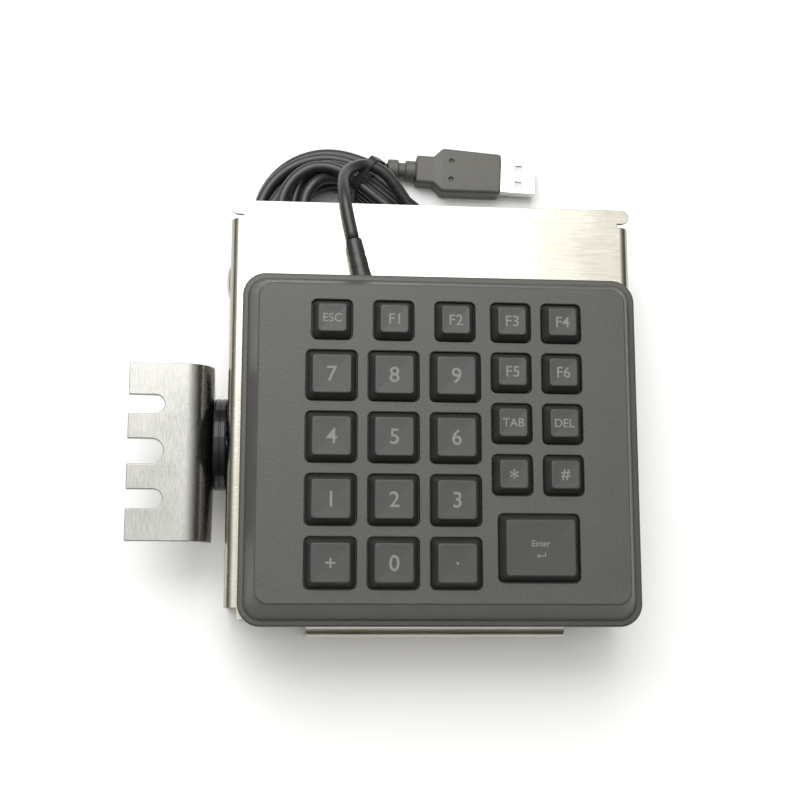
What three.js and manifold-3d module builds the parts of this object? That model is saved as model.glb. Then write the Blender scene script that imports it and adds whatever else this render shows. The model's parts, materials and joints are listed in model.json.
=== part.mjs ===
// Programmable 24-key keypad on a bent sheet-metal tray, with a tilting side bracket and a USB lead.
// Millimetres. +X is to the right of the keys, +Y to the rear (cable side), +Z up out of the keys.
// Every drawing coordinate is counted from the centre of the key 7; the group at the end moves the
// whole object so that its origin is the bottom centre of the tray and bracket.

import * as THREE from 'three';
import { mergeVertices } from 'three/addons/utils/BufferGeometryUtils.js';
import Module from 'manifold-3d';

const wasm = await Module();
wasm.setup();

// ---------------------------------------------------------------- driving dimensions
const GAP = 0.3;                 // left between pieces that touch

const FACE_Z = 50;               // outer face of the top cover above the table
const WALL = 2;                  // top cover wall
const FACE = { x0: -22.8, x1: 92.1, y0: -69.6, y1: 29.1, r: 4.5 };
const FOOT = { x0: -26.0, x1: 95.3, y0: -74.0, y1: 32.3, r: 5.6 };
const BASE = { x0: -27.8, x1: 97.5, y0: -76.0, y1: 34.3, r: 7.2 };
const RIM_Z = 38;                // lower rim of the top cover
const LEDGE_Z = 41;              // ledge round the foot of the slanted wall
const COVER_UNDER_Z = FACE_Z - WALL;

const KEY_PITCH = 19.05;         // standard key pitch, large keys
const SMALL_PITCH = 15.875;      // five sixths of it, small keys
const LARGE_KEY = { w: 15, d: 15, play: 0.4 };
const SMALL_KEY = { w: 11.85, d: 11.85, play: 0.4 };
const ENTER_KEY = { w: 24.4, d: 20.1, play: 0.4 };
const KEY_PROUD = 3;             // key top above the cover face
const KEY_TAPER = 1.4;           // slope of a key's side, per side
const KEY_FLANGE = 1;            // retaining flange, width and thickness
const KEY_WALL = 1.2;
const KEY_ROOF = 1.6;
const KEY_TRAVEL = 2;
const STEM_W = 5;
const STEM_BOTTOM_Z = 42.6;

const GUIDE_TOP_Z = COVER_UNDER_Z - GAP - KEY_FLANGE - KEY_TRAVEL - GAP;
const GUIDE_T = 1;
const STACK = { x0: -10.5, x1: 80.5, y0: -67, y1: 27, r: 2 };
const DOME_TOP_Z = STEM_BOTTOM_Z - GAP;
const MAT_TOP_Z = 39.9;
const MAT_T = 0.8;
const MEMBRANE_T = 0.3;
const STIFFENER_T = 1;

const TRAY_TOP_Z = 32;
const SHEET = 1.5;
const TRAY = { x0: -32.3, x1: 99, y0: -70.3, y1: 54.8 };
const TRAY_REAR_Y = 60.7;
const TRAY_FRONT_Y = -74;
const TRAY_BEND = 3.5;           // outer bend radius
const RELIEF_SLOT = 1.2;         // slot between each flange and the rear strip
const APRON = { x0: -6.7, x1: 74.5, y: -79.3 };

const BOTTOM_Z = TRAY_TOP_Z + GAP;
const FLOOR_T = 1.6;
const FLOOR_TOP_Z = BOTTOM_Z + FLOOR_T;

const BRACKET = { x0: -63.4, x1: -37, y0: -49.7, y1: 6.8, topZ: 30, t: 2.2, bend: 9 };
const SLOTS = [
  { y: -36.5, w: 6 },
  { y: -21.5, w: 8 },
  { y: -6.5, w: 6 },
];
const SLOT_END_X = -52;
const RIVET = { y: 37, z: 16, shank: 2.4, head: 5.5, dome: 1.25 };
const PIVOT_Y = -17.5;
const PIVOT_Z = 16;
const TAB_R = 13;
const SPACER_R = 15;
const BOLT_R = 3;
const PIVOT_BORE_R = BOLT_R + GAP;
const HEX_R = 5.77;              // corner radius of a 10 mm hexagon

const CORD_R = 2;
const CABLE_X = 10;              // where the lead leaves the rear wall
const CABLE_Z = 35.6;
const BOOT_LENGTH = 13;
const BOOT_LEAN = THREE.MathUtils.degToRad(12.7);
const BOOT_DROP = THREE.MathUtils.degToRad(2.2);

// The coil is an oval ring: two round ends joined by a straight run. It is drawn with its left end
// on the origin and the run along +x, then turned and moved. Its hole sits off centre by lean.
const COIL = {
  x: -0.8,
  y: 60.8,
  turn: THREE.MathUtils.degToRad(-37.6),
  run: 22,
  outer: 26.3,
  hole: 10,
  lean: 5,
  z0: 1.1,
  z1: 17.4,
};
const TIE = { along: 0.5, w: 2.6, t: 0.6, y0: 13.7, y1: 31.6, z1: 25.8 };
const PLUG_START = new THREE.Vector3(20.5, 82.5, 4);
const PLUG_TURN = THREE.MathUtils.degToRad(-2.5);

// ---------------------------------------------------------------- materials
const paint = (color, roughness, metalness) =>
  new THREE.MeshStandardMaterial({ color, roughness, metalness });
const coverPlastic = paint(0x2b2b2a, 0.6, 0);
const keyPlastic = paint(0x30302e, 0.55, 0);
const innerPlastic = paint(0x1d1d1d, 0.6, 0);
const silicone = paint(0xb9b7ad, 0.7, 0);
const filmPlastic = paint(0x7d8a6a, 0.3, 0);
const boardGreen = paint(0x1f5a34, 0.5, 0);
const chipBlack = paint(0x101010, 0.4, 0);
const trayMetal = paint(0xd9d5c2, 0.35, 0.9);
const bracketMetal = paint(0xa6a6a0, 0.35, 0.9);
const zinc = paint(0xc0c0bc, 0.3, 1);
const glossBlack = paint(0x0c0c0d, 0.15, 0);
const cordBlack = paint(0x1b1b1b, 0.5, 0);
const plugGrey = paint(0x4a4a45, 0.6, 0);
const paleNylon = paint(0xdcdad2, 0.5, 0);

// ---------------------------------------------------------------- shape tools
// Grows (or with a negative amount shrinks) an outline on every side.
const grow = (o, by) => ({
  x0: o.x0 - by,
  x1: o.x1 + by,
  y0: o.y0 - by,
  y1: o.y1 + by,
  r: Math.max(o.r + by, 0.2),
});

const around = (x, y, w, d, r) => ({ x0: x - w / 2, x1: x + w / 2, y0: y - d / 2, y1: y + d / 2, r });

// Points of a rounded rectangle, counter-clockwise, with the same count at every size.
function outlinePoints(o, steps) {
  const corners = [
    [o.x1 - o.r, o.y0 + o.r, -90],
    [o.x1 - o.r, o.y1 - o.r, 0],
    [o.x0 + o.r, o.y1 - o.r, 90],
    [o.x0 + o.r, o.y0 + o.r, 180],
  ];
  return corners.flatMap(([cx, cy, start]) =>
    Array.from({ length: steps + 1 }, (_, i) => {
      const a = THREE.MathUtils.degToRad(start + (90 * i) / steps);
      return new THREE.Vector2(cx + o.r * Math.cos(a), cy + o.r * Math.sin(a));
    }));
}

// A closed skin through rounded rectangles stacked in z, lowest first.
function loft(levels, steps) {
  const rings = levels.map(({ o }) => outlinePoints(o, steps));
  const count = rings[0].length;
  const positions = rings.flatMap((ring, k) => ring.flatMap((p) => [p.x, p.y, levels[k].z]));
  const index = [];
  for (let k = 0; k < rings.length - 1; k += 1) {
    for (let i = 0; i < count; i += 1) {
      const a = k * count + i;
      const b = k * count + ((i + 1) % count);
      index.push(a, b, b + count, a, b + count, a + count);
    }
  }
  const last = (rings.length - 1) * count;
  for (let i = 1; i < count - 1; i += 1) {
    index.push(0, i + 1, i);
    index.push(last, last + i, last + i + 1);
  }
  const geometry = new THREE.BufferGeometry();
  geometry.setAttribute('position', new THREE.Float32BufferAttribute(positions, 3));
  geometry.setIndex(index);
  return geometry;
}

const block = (o, z0, z1, steps = 2) => loft([{ z: z0, o }, { z: z1, o }], steps);

function box(x0, x1, y0, y1, z0, z1) {
  const geometry = new THREE.BoxGeometry(x1 - x0, y1 - y0, z1 - z0);
  return geometry.translate((x0 + x1) / 2, (y0 + y1) / 2, (z0 + z1) / 2);
}

function post(x, y, z0, z1, r, sides = 12) {
  const geometry = new THREE.CylinderGeometry(r, r, z1 - z0, sides);
  return geometry.rotateX(Math.PI / 2).translate(x, y, (z0 + z1) / 2);
}

function rod(x0, x1, y, z, r, sides = 20) {
  const geometry = new THREE.CylinderGeometry(r, r, x1 - x0, sides);
  return geometry.rotateZ(Math.PI / 2).translate((x0 + x1) / 2, y, z);
}

const BEND_SEGMENTS = 8;

// A section drawn in x and z, run along y from y0 to y1.
function alongY(section, y0, y1) {
  const geometry = new THREE.ExtrudeGeometry(section, {
    depth: y1 - y0,
    bevelEnabled: false,
    curveSegments: BEND_SEGMENTS,
  });
  return geometry.rotateX(Math.PI / 2).translate(0, y1, 0);
}

// A section drawn in y and z, run along x from x0 to x1.
function alongX(section, x0, x1) {
  const geometry = new THREE.ExtrudeGeometry(section, {
    depth: x1 - x0,
    bevelEnabled: false,
    curveSegments: BEND_SEGMENTS,
  });
  const turn = new THREE.Matrix4().set(0, 0, 1, x0, 1, 0, 0, 0, 0, 1, 0, 0, 0, 0, 0, 1);
  return geometry.applyMatrix4(turn);
}

function solidOf(geometry) {
  const bare = geometry.clone();
  bare.deleteAttribute('normal');
  bare.deleteAttribute('uv');
  const merged = mergeVertices(bare, 1e-4);
  return new wasm.Manifold(new wasm.Mesh({
    numProp: 3,
    vertProperties: Float32Array.from(merged.attributes.position.array),
    triVerts: Uint32Array.from(merged.index.array),
  }));
}

function geometryOf(solid) {
  const mesh = solid.getMesh();
  const geometry = new THREE.BufferGeometry();
  geometry.setAttribute('position', new THREE.BufferAttribute(mesh.vertProperties, 3));
  geometry.setIndex(new THREE.BufferAttribute(mesh.triVerts, 1));
  geometry.computeVertexNormals();
  return geometry;
}

// Joins the added shapes into one body, then takes the cut shapes out of it.
function carve(added, removed = []) {
  const body = added.map(solidOf).reduce((sum, next) => sum.add(next));
  return geometryOf(removed.map(solidOf).reduce((sum, next) => sum.subtract(next), body));
}

const keypad = new THREE.Group();

function addPart(name, geometry, material) {
  const mesh = new THREE.Mesh(geometry, material);
  mesh.name = name;
  keypad.add(mesh);
}

// ---------------------------------------------------------------- keys
const column = (n) => n * KEY_PITCH;
const SMALL_X = [2 * KEY_PITCH + 17.46, 2 * KEY_PITCH + 17.46 + SMALL_PITCH];
const SMALL_Y = [17.46, 17.46 - SMALL_PITCH, 17.46 - 2 * SMALL_PITCH, 17.46 - 3 * SMALL_PITCH];

const KEYS = [
  ...['esc', 'f1', 'f2'].map((name, i) => ({ name, x: column(i), y: SMALL_Y[0], ...SMALL_KEY })),
  ...['f3', 'f5', 'tab', 'star'].map((name, i) => ({ name, x: SMALL_X[0], y: SMALL_Y[i], ...SMALL_KEY })),
  ...['f4', 'f6', 'del', 'hash'].map((name, i) => ({ name, x: SMALL_X[1], y: SMALL_Y[i], ...SMALL_KEY })),
  ...['7', '8', '9'].map((name, i) => ({ name, x: column(i), y: 0, ...LARGE_KEY })),
  ...['4', '5', '6'].map((name, i) => ({ name, x: column(i), y: -KEY_PITCH, ...LARGE_KEY })),
  ...['1', '2', '3'].map((name, i) => ({ name, x: column(i), y: -2 * KEY_PITCH, ...LARGE_KEY })),
  ...['plus', '0', 'dot'].map((name, i) => ({ name, x: column(i), y: -3 * KEY_PITCH, ...LARGE_KEY })),
  { name: 'enter', x: 63.5, y: -52.4, ...ENTER_KEY },
];

// A cap with slanted sides, a retaining flange, a hollow underside and a square stem.
function keycap({ x, y, w, d }) {
  const skirt = around(x, y, w, d, 1.5);
  const flangeTop = COVER_UNDER_Z - GAP;
  const flangeBottom = flangeTop - KEY_FLANGE;
  const cap = loft([
    { z: flangeBottom + 0.2, o: skirt },
    { z: FACE_Z - 0.6, o: skirt },
    { z: FACE_Z + KEY_PROUD, o: grow(skirt, -KEY_TAPER) },
  ], 2);
  const flange = block(grow(skirt, KEY_FLANGE), flangeBottom, flangeTop, 1);
  const hollow = loft([
    { z: flangeBottom - 1, o: grow(skirt, -KEY_WALL) },
    { z: FACE_Z + KEY_PROUD - KEY_ROOF, o: grow(skirt, -KEY_TAPER - KEY_WALL) },
  ], 1);
  const shell = solidOf(cap).add(solidOf(flange)).subtract(solidOf(hollow));
  const half = STEM_W / 2;
  const stem = box(x - half, x + half, y - half, y + half, STEM_BOTTOM_Z, FACE_Z + KEY_PROUD - 1);
  return geometryOf(shell.add(solidOf(stem)));
}

KEYS.forEach((key) => addPart(`key_${key.name}`, keycap(key), keyPlastic));

// ---------------------------------------------------------------- top cover
const CASE_BOSS_R = 3.2;
const SCREW_POSTS = [[-16, 22], [85.5, 22], [-16, -62], [85.5, -62]];
const CASE_SCREW_R = 1.15;
const CASE_SCREW_TOP_Z = 45;
const CASE_BOSS_Z = 36.2;

function topCover() {
  const skin = loft([
    { z: RIM_Z, o: BASE },
    { z: LEDGE_Z - 1, o: BASE },
    { z: LEDGE_Z - 0.3, o: grow(BASE, -0.7) },
    { z: LEDGE_Z, o: FOOT },
    { z: FACE_Z - 0.6, o: FACE },
    { z: FACE_Z, o: grow(FACE, -0.6) },
  ], 4);
  const cavity = loft([
    { z: RIM_Z - 1, o: grow(BASE, -WALL) },
    { z: LEDGE_Z - 1.8, o: grow(BASE, -WALL) },
    { z: LEDGE_Z - 1.4, o: grow(FOOT, -WALL) },
    { z: COVER_UNDER_Z, o: grow(FACE, -1.3) },
  ], 3);
  const windows = KEYS.map(({ x, y, w, d, play }) =>
    block(around(x, y, w + 2 * play, d + 2 * play, 1.7), COVER_UNDER_Z - 1, FACE_Z + 1, 1));
  const shell = [cavity, ...windows].map(solidOf)
    .reduce((sum, next) => sum.subtract(next), solidOf(skin));
  const bosses = SCREW_POSTS.map(([x, y]) => post(x, y, CASE_BOSS_Z, COVER_UNDER_Z + 0.5, CASE_BOSS_R));
  const holes = SCREW_POSTS.map(([x, y]) =>
    post(x, y, CASE_BOSS_Z - 1, CASE_SCREW_TOP_Z + 1, CASE_SCREW_R + GAP, 8));
  const whole = bosses.map(solidOf).reduce((sum, next) => sum.add(next), shell);
  return geometryOf(holes.map(solidOf).reduce((sum, next) => sum.subtract(next), whole));
}

addPart('top_cover', topCover(), coverPlastic);

// ---------------------------------------------------------------- bottom cover
const TRAY_SCREWS = [[0, -4.5], [70, -4.5], [0, -60], [70, -60]];
const TRAY_SCREW_R = 1.3;
const SCREW_SEAT_Z = 34.3;

function bottomCover() {
  const inset = grow(BASE, -1.5);
  const hull = loft([
    { z: BOTTOM_Z, o: grow(inset, -0.8) },
    { z: BOTTOM_Z + 0.8, o: inset },
    { z: RIM_Z - GAP, o: inset },
  ], 3);
  const lip = block(grow(BASE, -WALL - GAP), FLOOR_TOP_Z, RIM_Z + 1, 3);
  const inside = block(grow(BASE, -WALL - GAP - 1), FLOOR_TOP_Z, RIM_Z + 2, 3);
  const exit = box(CABLE_X - 3.1, CABLE_X + 3.1, 28, 36, BOTTOM_Z + 0.8, RIM_Z + 2);
  const tub = [inside, exit].map(solidOf)
    .reduce((sum, next) => sum.subtract(next), solidOf(hull).add(solidOf(lip)));
  const caseBosses = SCREW_POSTS.map(([x, y]) => post(x, y, FLOOR_TOP_Z - 0.5, CASE_BOSS_Z - GAP, 4.5));
  const trayBosses = TRAY_SCREWS.map(([x, y]) => post(x, y, FLOOR_TOP_Z - 0.5, 36.9, 3.5));
  const sinks = SCREW_POSTS.map(([x, y]) => post(x, y, BOTTOM_Z - 1, SCREW_SEAT_Z, 3));
  const clearances = SCREW_POSTS.map(([x, y]) =>
    post(x, y, BOTTOM_Z, 37, CASE_SCREW_R + GAP, 8));
  const threads = TRAY_SCREWS.map(([x, y]) =>
    post(x, y, BOTTOM_Z - 1, 36.2, TRAY_SCREW_R + GAP, 8));
  const full = [...caseBosses, ...trayBosses].map(solidOf).reduce((sum, next) => sum.add(next), tub);
  return geometryOf([...sinks, ...clearances, ...threads].map(solidOf)
    .reduce((sum, next) => sum.subtract(next), full));
}

addPart('bottom_cover', bottomCover(), coverPlastic);

SCREW_POSTS.forEach(([x, y], i) => {
  const head = post(x, y, BOTTOM_Z + GAP, SCREW_SEAT_Z - GAP, 2.6);
  const shank = post(x, y, BOTTOM_Z + 1, CASE_SCREW_TOP_Z, CASE_SCREW_R, 8);
  addPart(`case_screw_${i + 1}`, carve([head, shank]), zinc);
});

// ---------------------------------------------------------------- switch stack
function guideFrame() {
  const plate = block(STACK, GUIDE_TOP_Z - GUIDE_T, GUIDE_TOP_Z);
  const skirt = block(STACK, MAT_TOP_Z + GAP, GUIDE_TOP_Z);
  const room = block(grow(STACK, -1.2), MAT_TOP_Z - 1, GUIDE_TOP_Z - GUIDE_T);
  const half = STEM_W / 2 + GAP;
  const windows = KEYS.map(({ x, y }) => box(x - half, x + half, y - half, y + half, 42, 46));
  return carve([plate, skirt], [room, ...windows]);
}

addPart('key_guide_frame', guideFrame(), innerPlastic);

function domeMat() {
  const sheet = block(STACK, MAT_TOP_Z - MAT_T, MAT_TOP_Z);
  const dome = ({ x, y }, r0, r1, z0, z1) => {
    const geometry = new THREE.CylinderGeometry(r1, r0, z1 - z0, 8);
    return geometry.rotateX(Math.PI / 2).translate(x, y, (z0 + z1) / 2);
  };
  const domes = KEYS.map((key) => dome(key, 4.5, 2.8, MAT_TOP_Z - 0.4, DOME_TOP_Z));
  const hollows = KEYS.map((key) => dome(key, 3.9, 2.1, MAT_TOP_Z - 1, DOME_TOP_Z - 0.7));
  return carve([sheet, ...domes], hollows);
}

addPart('rubber_dome_mat', domeMat(), silicone);

const MEMBRANE_TOP_Z = MAT_TOP_Z - MAT_T - GAP;
const membrane = block(STACK, MEMBRANE_TOP_Z - MEMBRANE_T, MEMBRANE_TOP_Z);
const membraneTail = box(40, 52, 25, 29.5, MEMBRANE_TOP_Z - MEMBRANE_T, MEMBRANE_TOP_Z);
addPart('membrane_sheet', carve([membrane, membraneTail]), filmPlastic);

const STIFFENER_TOP_Z = MEMBRANE_TOP_Z - MEMBRANE_T - GAP;
const stiffener = block(STACK, STIFFENER_TOP_Z - STIFFENER_T, STIFFENER_TOP_Z);
const stiffenerHoles = [[-6, 23], [76, 23], [-6, -63], [76, -63]].map(([x, y]) =>
  post(x, y, STIFFENER_TOP_Z - 2, STIFFENER_TOP_Z + 1, 2, 12));
addPart('stiffener_plate', carve([stiffener], stiffenerHoles), zinc);

const BOARD = { x0: -6, x1: 36, y0: 4, y1: 26, r: 1 };
const BOARD_Z = FLOOR_TOP_Z + 0.4;
const BOARD_T = 1;
addPart('controller_board', block(BOARD, BOARD_Z, BOARD_Z + BOARD_T, 1), boardGreen);
const CHIP_Z = BOARD_Z + BOARD_T + GAP;
addPart('controller_chip', box(18, 28, 9, 19, CHIP_Z, CHIP_Z + 1), chipBlack);
addPart('board_connector', box(5, 15, 20.5, 25.5, CHIP_Z, CHIP_Z + 1.2), silicone);

// ---------------------------------------------------------------- tray
// A flat-topped channel section: plate, a round bend at each end and a flange down to the table.
function channelSection(x0, x1, topZ, thickness, bend, bottomZ) {
  const inner = bend - thickness;
  const shape = new THREE.Shape();
  shape.moveTo(x0, bottomZ);
  shape.lineTo(x0, topZ - bend);
  shape.absarc(x0 + bend, topZ - bend, bend, Math.PI, Math.PI / 2, true);
  shape.lineTo(x1 - bend, topZ);
  shape.absarc(x1 - bend, topZ - bend, bend, Math.PI / 2, 0, true);
  shape.lineTo(x1, bottomZ);
  shape.lineTo(x1 - thickness, bottomZ);
  shape.lineTo(x1 - thickness, topZ - bend);
  shape.absarc(x1 - bend, topZ - bend, inner, 0, Math.PI / 2, false);
  shape.lineTo(x0 + bend, topZ - thickness);
  shape.absarc(x0 + bend, topZ - bend, inner, Math.PI / 2, Math.PI, false);
  shape.lineTo(x0 + thickness, bottomZ);
  shape.closePath();
  return shape;
}

// One bend: a flat end at (run, top), turning down to a flange at (0, bottom).
function angleSection(flange, run, topZ, thickness, bend, bottomZ) {
  const side = Math.sign(run - flange);
  const centre = flange + side * bend;
  const start = side > 0 ? Math.PI : 0;
  const shape = new THREE.Shape();
  shape.moveTo(flange, bottomZ);
  shape.lineTo(flange, topZ - bend);
  shape.absarc(centre, topZ - bend, bend, start, Math.PI / 2, side > 0);
  shape.lineTo(run, topZ);
  shape.lineTo(run, topZ - thickness);
  shape.lineTo(centre, topZ - thickness);
  shape.absarc(centre, topZ - bend, bend - thickness, Math.PI / 2, start, side < 0);
  shape.lineTo(flange + side * thickness, bottomZ);
  shape.closePath();
  return shape;
}

function tray() {
  const plateZ = TRAY_TOP_Z - SHEET;
  const channel = alongY(channelSection(TRAY.x0, TRAY.x1, TRAY_TOP_Z, SHEET, TRAY_BEND, 0),
    TRAY.y0, TRAY.y1);
  const neck = { x0: TRAY.x0 + TRAY_BEND + 0.5, x1: TRAY.x1 - TRAY_BEND - 0.5 };
  const bridge = box(neck.x0, neck.x1, TRAY_FRONT_Y, TRAY.y1 + 3, plateZ, TRAY_TOP_Z);
  const rearStrip = block({
    x0: TRAY.x0,
    x1: TRAY.x1,
    y0: TRAY.y1 + RELIEF_SLOT,
    y1: TRAY_REAR_Y,
    r: 2.3,
  }, plateZ, TRAY_TOP_Z, 4);
  const apron = alongX(angleSection(APRON.y, TRAY_FRONT_Y + 2, TRAY_TOP_Z, SHEET, TRAY_BEND, 0),
    APRON.x0, APRON.x1);
  const holes = TRAY_SCREWS.map(([x, y]) => post(x, y, plateZ - 1, TRAY_TOP_Z + 1, TRAY_SCREW_R + GAP));
  const pivotHole = rod(TRAY.x0 - 2, TRAY.x0 + 4, PIVOT_Y, PIVOT_Z, PIVOT_BORE_R);
  const rivetHole = rod(TRAY.x0 - 2, TRAY.x0 + 4, RIVET.y, RIVET.z, RIVET.shank + GAP, 12);
  return carve([channel, bridge, rearStrip, apron], [...holes, pivotHole, rivetHole]);
}

addPart('mounting_tray', tray(), trayMetal);

TRAY_SCREWS.forEach(([x, y], i) => {
  const plateZ = TRAY_TOP_Z - SHEET;
  const head = post(x, y, plateZ - GAP - 2, plateZ - GAP, 2.9);
  const shank = post(x, y, plateZ - 1, 35.9, TRAY_SCREW_R, 8);
  addPart(`tray_screw_${i + 1}`, carve([head, shank]), zinc);
});

// A turned piece about a line along x: profile points are [distance along x, radius].
function turnedAlongX(profile, x, y, z, segments) {
  const points = profile.map(([along, radius]) => new THREE.Vector2(radius, along));
  const geometry = new THREE.LatheGeometry(points, segments);
  return geometry.rotateZ(-Math.PI / 2).translate(x, y, z);
}

function flangeRivet() {
  const inner = TRAY.x0 + SHEET + GAP;
  const outer = TRAY.x0 - GAP;
  return geometryOf(solidOf(turnedAlongX([
    [outer - RIVET.dome, 0],
    [outer - RIVET.dome * 0.92, RIVET.head * 0.4],
    [outer - RIVET.dome * 0.55, RIVET.head * 0.78],
    [outer, RIVET.head],
    [outer, RIVET.shank],
    [inner, RIVET.shank],
    [inner, RIVET.shank + 1],
    [inner + 0.8, RIVET.shank + 0.6],
    [inner + 0.8, 0],
  ], 0, RIVET.y, RIVET.z, 16)));
}

addPart('flange_rivet', flangeRivet(), zinc);

// ---------------------------------------------------------------- tilting bracket and its pivot
function bracket() {
  const { x0, x1, y0, y1, topZ, t, bend } = BRACKET;
  const strip = alongY(angleSection(x1, x0, topZ, t, bend, PIVOT_Z - TAB_R - 1), y0, y1);
  const tab = new THREE.Shape();
  const shoulderZ = topZ - bend - 0.5;
  const spread = THREE.MathUtils.degToRad(25);
  tab.moveTo(y0 - 1, topZ + 1);
  tab.lineTo(y0 - 1, shoulderZ);
  tab.lineTo(PIVOT_Y - TAB_R * Math.cos(spread), PIVOT_Z - TAB_R * Math.sin(spread));
  tab.absarc(PIVOT_Y, PIVOT_Z, TAB_R, Math.PI + spread, -spread, false);
  tab.lineTo(y1 + 1, shoulderZ);
  tab.lineTo(y1 + 1, topZ + 1);
  tab.closePath();
  const keep = alongX(tab, x0 - 1, x1 + 1);
  const slots = SLOTS.map(({ y, w }) => {
    const shape = new THREE.Shape();
    shape.moveTo(x0 - 1, y - w / 2);
    shape.lineTo(SLOT_END_X - w / 2, y - w / 2);
    shape.absarc(SLOT_END_X - w / 2, y, w / 2, -Math.PI / 2, Math.PI / 2, false);
    shape.lineTo(x0 - 1, y + w / 2);
    shape.closePath();
    const cutter = new THREE.ExtrudeGeometry(shape, { depth: 2 * t, bevelEnabled: false, curveSegments: 8 });
    return cutter.translate(0, 0, topZ - 1.5 * t);
  });
  const pivotHole = rod(x1 - 2 * t, x1 + 1, PIVOT_Y, PIVOT_Z, PIVOT_BORE_R);
  const body = solidOf(strip).intersect(solidOf(keep));
  return geometryOf([...slots, pivotHole].map(solidOf).reduce((sum, next) => sum.subtract(next), body));
}

addPart('pivot_bracket', bracket(), bracketMetal);

const ring = (x0, x1, outer, bore, ease, segments) => turnedAlongX([
  [x0, bore],
  [x0, outer - ease],
  [x0 + ease, outer],
  [x1 - ease, outer],
  [x1, outer - ease],
  [x1, bore],
  [x0, bore],
], 0, PIVOT_Y, PIVOT_Z, segments);

const FLANGE_LEFT_X = BRACKET.x1 - BRACKET.t;
const WASHER = { x0: FLANGE_LEFT_X - GAP - 1.4, x1: FLANGE_LEFT_X - GAP, r: 5.5 };
const NUT = { x1: WASHER.x0 - GAP, t: 5 };
const SPACER = { x0: BRACKET.x1 + GAP, x1: TRAY.x0 - GAP };
addPart('pivot_spacer', ring(SPACER.x0, SPACER.x1, SPACER_R, PIVOT_BORE_R, 0.6, 28), glossBlack);
addPart('pivot_washer', ring(WASHER.x0, WASHER.x1, WASHER.r, PIVOT_BORE_R, 0.2, 16), zinc);

const hexNut = rod(NUT.x1 - NUT.t, NUT.x1, PIVOT_Y, PIVOT_Z, HEX_R, 6);
const nutBore = rod(NUT.x1 - NUT.t - 1, NUT.x1 + 1, PIVOT_Y, PIVOT_Z, PIVOT_BORE_R);
addPart('pivot_nut', carve([hexNut], [nutBore]), zinc);

const HEAD_X = TRAY.x0 + SHEET + GAP;
const BOLT_HEAD = 4;
const boltHead = rod(HEAD_X, HEAD_X + BOLT_HEAD, PIVOT_Y, PIVOT_Z, HEX_R, 6);
const boltShank = rod(NUT.x1 - NUT.t - 1.5, HEAD_X + 1, PIVOT_Y, PIVOT_Z, BOLT_R);
addPart('pivot_bolt', carve([boltHead, boltShank]), zinc);

// ---------------------------------------------------------------- cable, from the board outwards
addPart('inner_lead', (() => {
  const lead = new THREE.CylinderGeometry(0.6, 0.6, 2.3, 10);
  return lead.translate(CABLE_X, 27.25, CHIP_Z + 0.6);
})(), cordBlack);

// Direction in which the boot and the lead leave the wall.
const OUTWARD = new THREE.Vector3(
  -Math.sin(BOOT_LEAN),
  Math.cos(BOOT_LEAN),
  -Math.sin(BOOT_DROP),
).normalize();
const BOOT_ROOT = new THREE.Vector3(CABLE_X, BASE.y1 + GAP, CABLE_Z);

function strainRelief() {
  const anchor = box(CABLE_X - 4.2, CABLE_X + 4.2, 28.7, 30.7, 34.3, 39);
  const neck = box(CABLE_X - 2.8, CABLE_X + 2.8, 30, BOOT_ROOT.y + 1, 33.5, RIM_Z - GAP);
  const profile = [[0, 0], [0, 3.1], [2.5, 3.1], [BOOT_LENGTH, 2.6], [BOOT_LENGTH, 0]];
  const boot = new THREE.LatheGeometry(profile.map(([s, r]) => new THREE.Vector2(r, s)), 20);
  const aim = new THREE.Quaternion().setFromUnitVectors(new THREE.Vector3(0, 1, 0), OUTWARD);
  boot.applyQuaternion(aim).translate(BOOT_ROOT.x, BOOT_ROOT.y, BOOT_ROOT.z);
  return carve([anchor, neck, boot]);
}

addPart('cable_strain_relief', strainRelief(), cordBlack);

// A round section run along a smooth curve through the given points.
function tube(points, radius, sides, steps) {
  const circle = new THREE.Shape();
  for (let i = 0; i < sides; i += 1) {
    const a = (2 * Math.PI * i) / sides;
    circle[i === 0 ? 'moveTo' : 'lineTo'](radius * Math.cos(a), radius * Math.sin(a));
  }
  circle.closePath();
  const extrudePath = new THREE.CatmullRomCurve3(points.map(([x, y, z]) => new THREE.Vector3(x, y, z)));
  return new THREE.ExtrudeGeometry(circle, { steps, extrudePath, bevelEnabled: false });
}

// The lead lies on the tray, turns down over its rear edge and sweeps round on to the coil's top.
const leadStart = BOOT_ROOT.clone().addScaledVector(OUTWARD, BOOT_LENGTH + GAP);
const LEAD_ROUTE = [
  [leadStart.x, leadStart.y, leadStart.z],
  [6.1, 52, 34.8],
  [5.1, 56.7, 34.8],
  [4.5, 60, 34.6],
  [4.1, 63, 33.6],
  [3.9, 65.7, 31.9],
  [3.75, 68.3, 29.8],
  [3.9, 70.9, 27.5],
  [4.7, 73.5, 25.2],
  [6.4, 75.8, 23.1],
  [8.6, 77.5, 21.4],
  [11.2, 78.35, 20.3],
  [14, 78.25, 19.8],
  [16.6, 77.3, 19.75],
];
addPart('usb_cable_lead', tube(LEAD_ROUTE, CORD_R, 8, 22), cordBlack);

// Turns a shape drawn in the coil's own directions and moves it to the coil's place.
const atCoil = (geometry) => geometry.rotateZ(COIL.turn).translate(COIL.x, COIL.y, 0);

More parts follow.
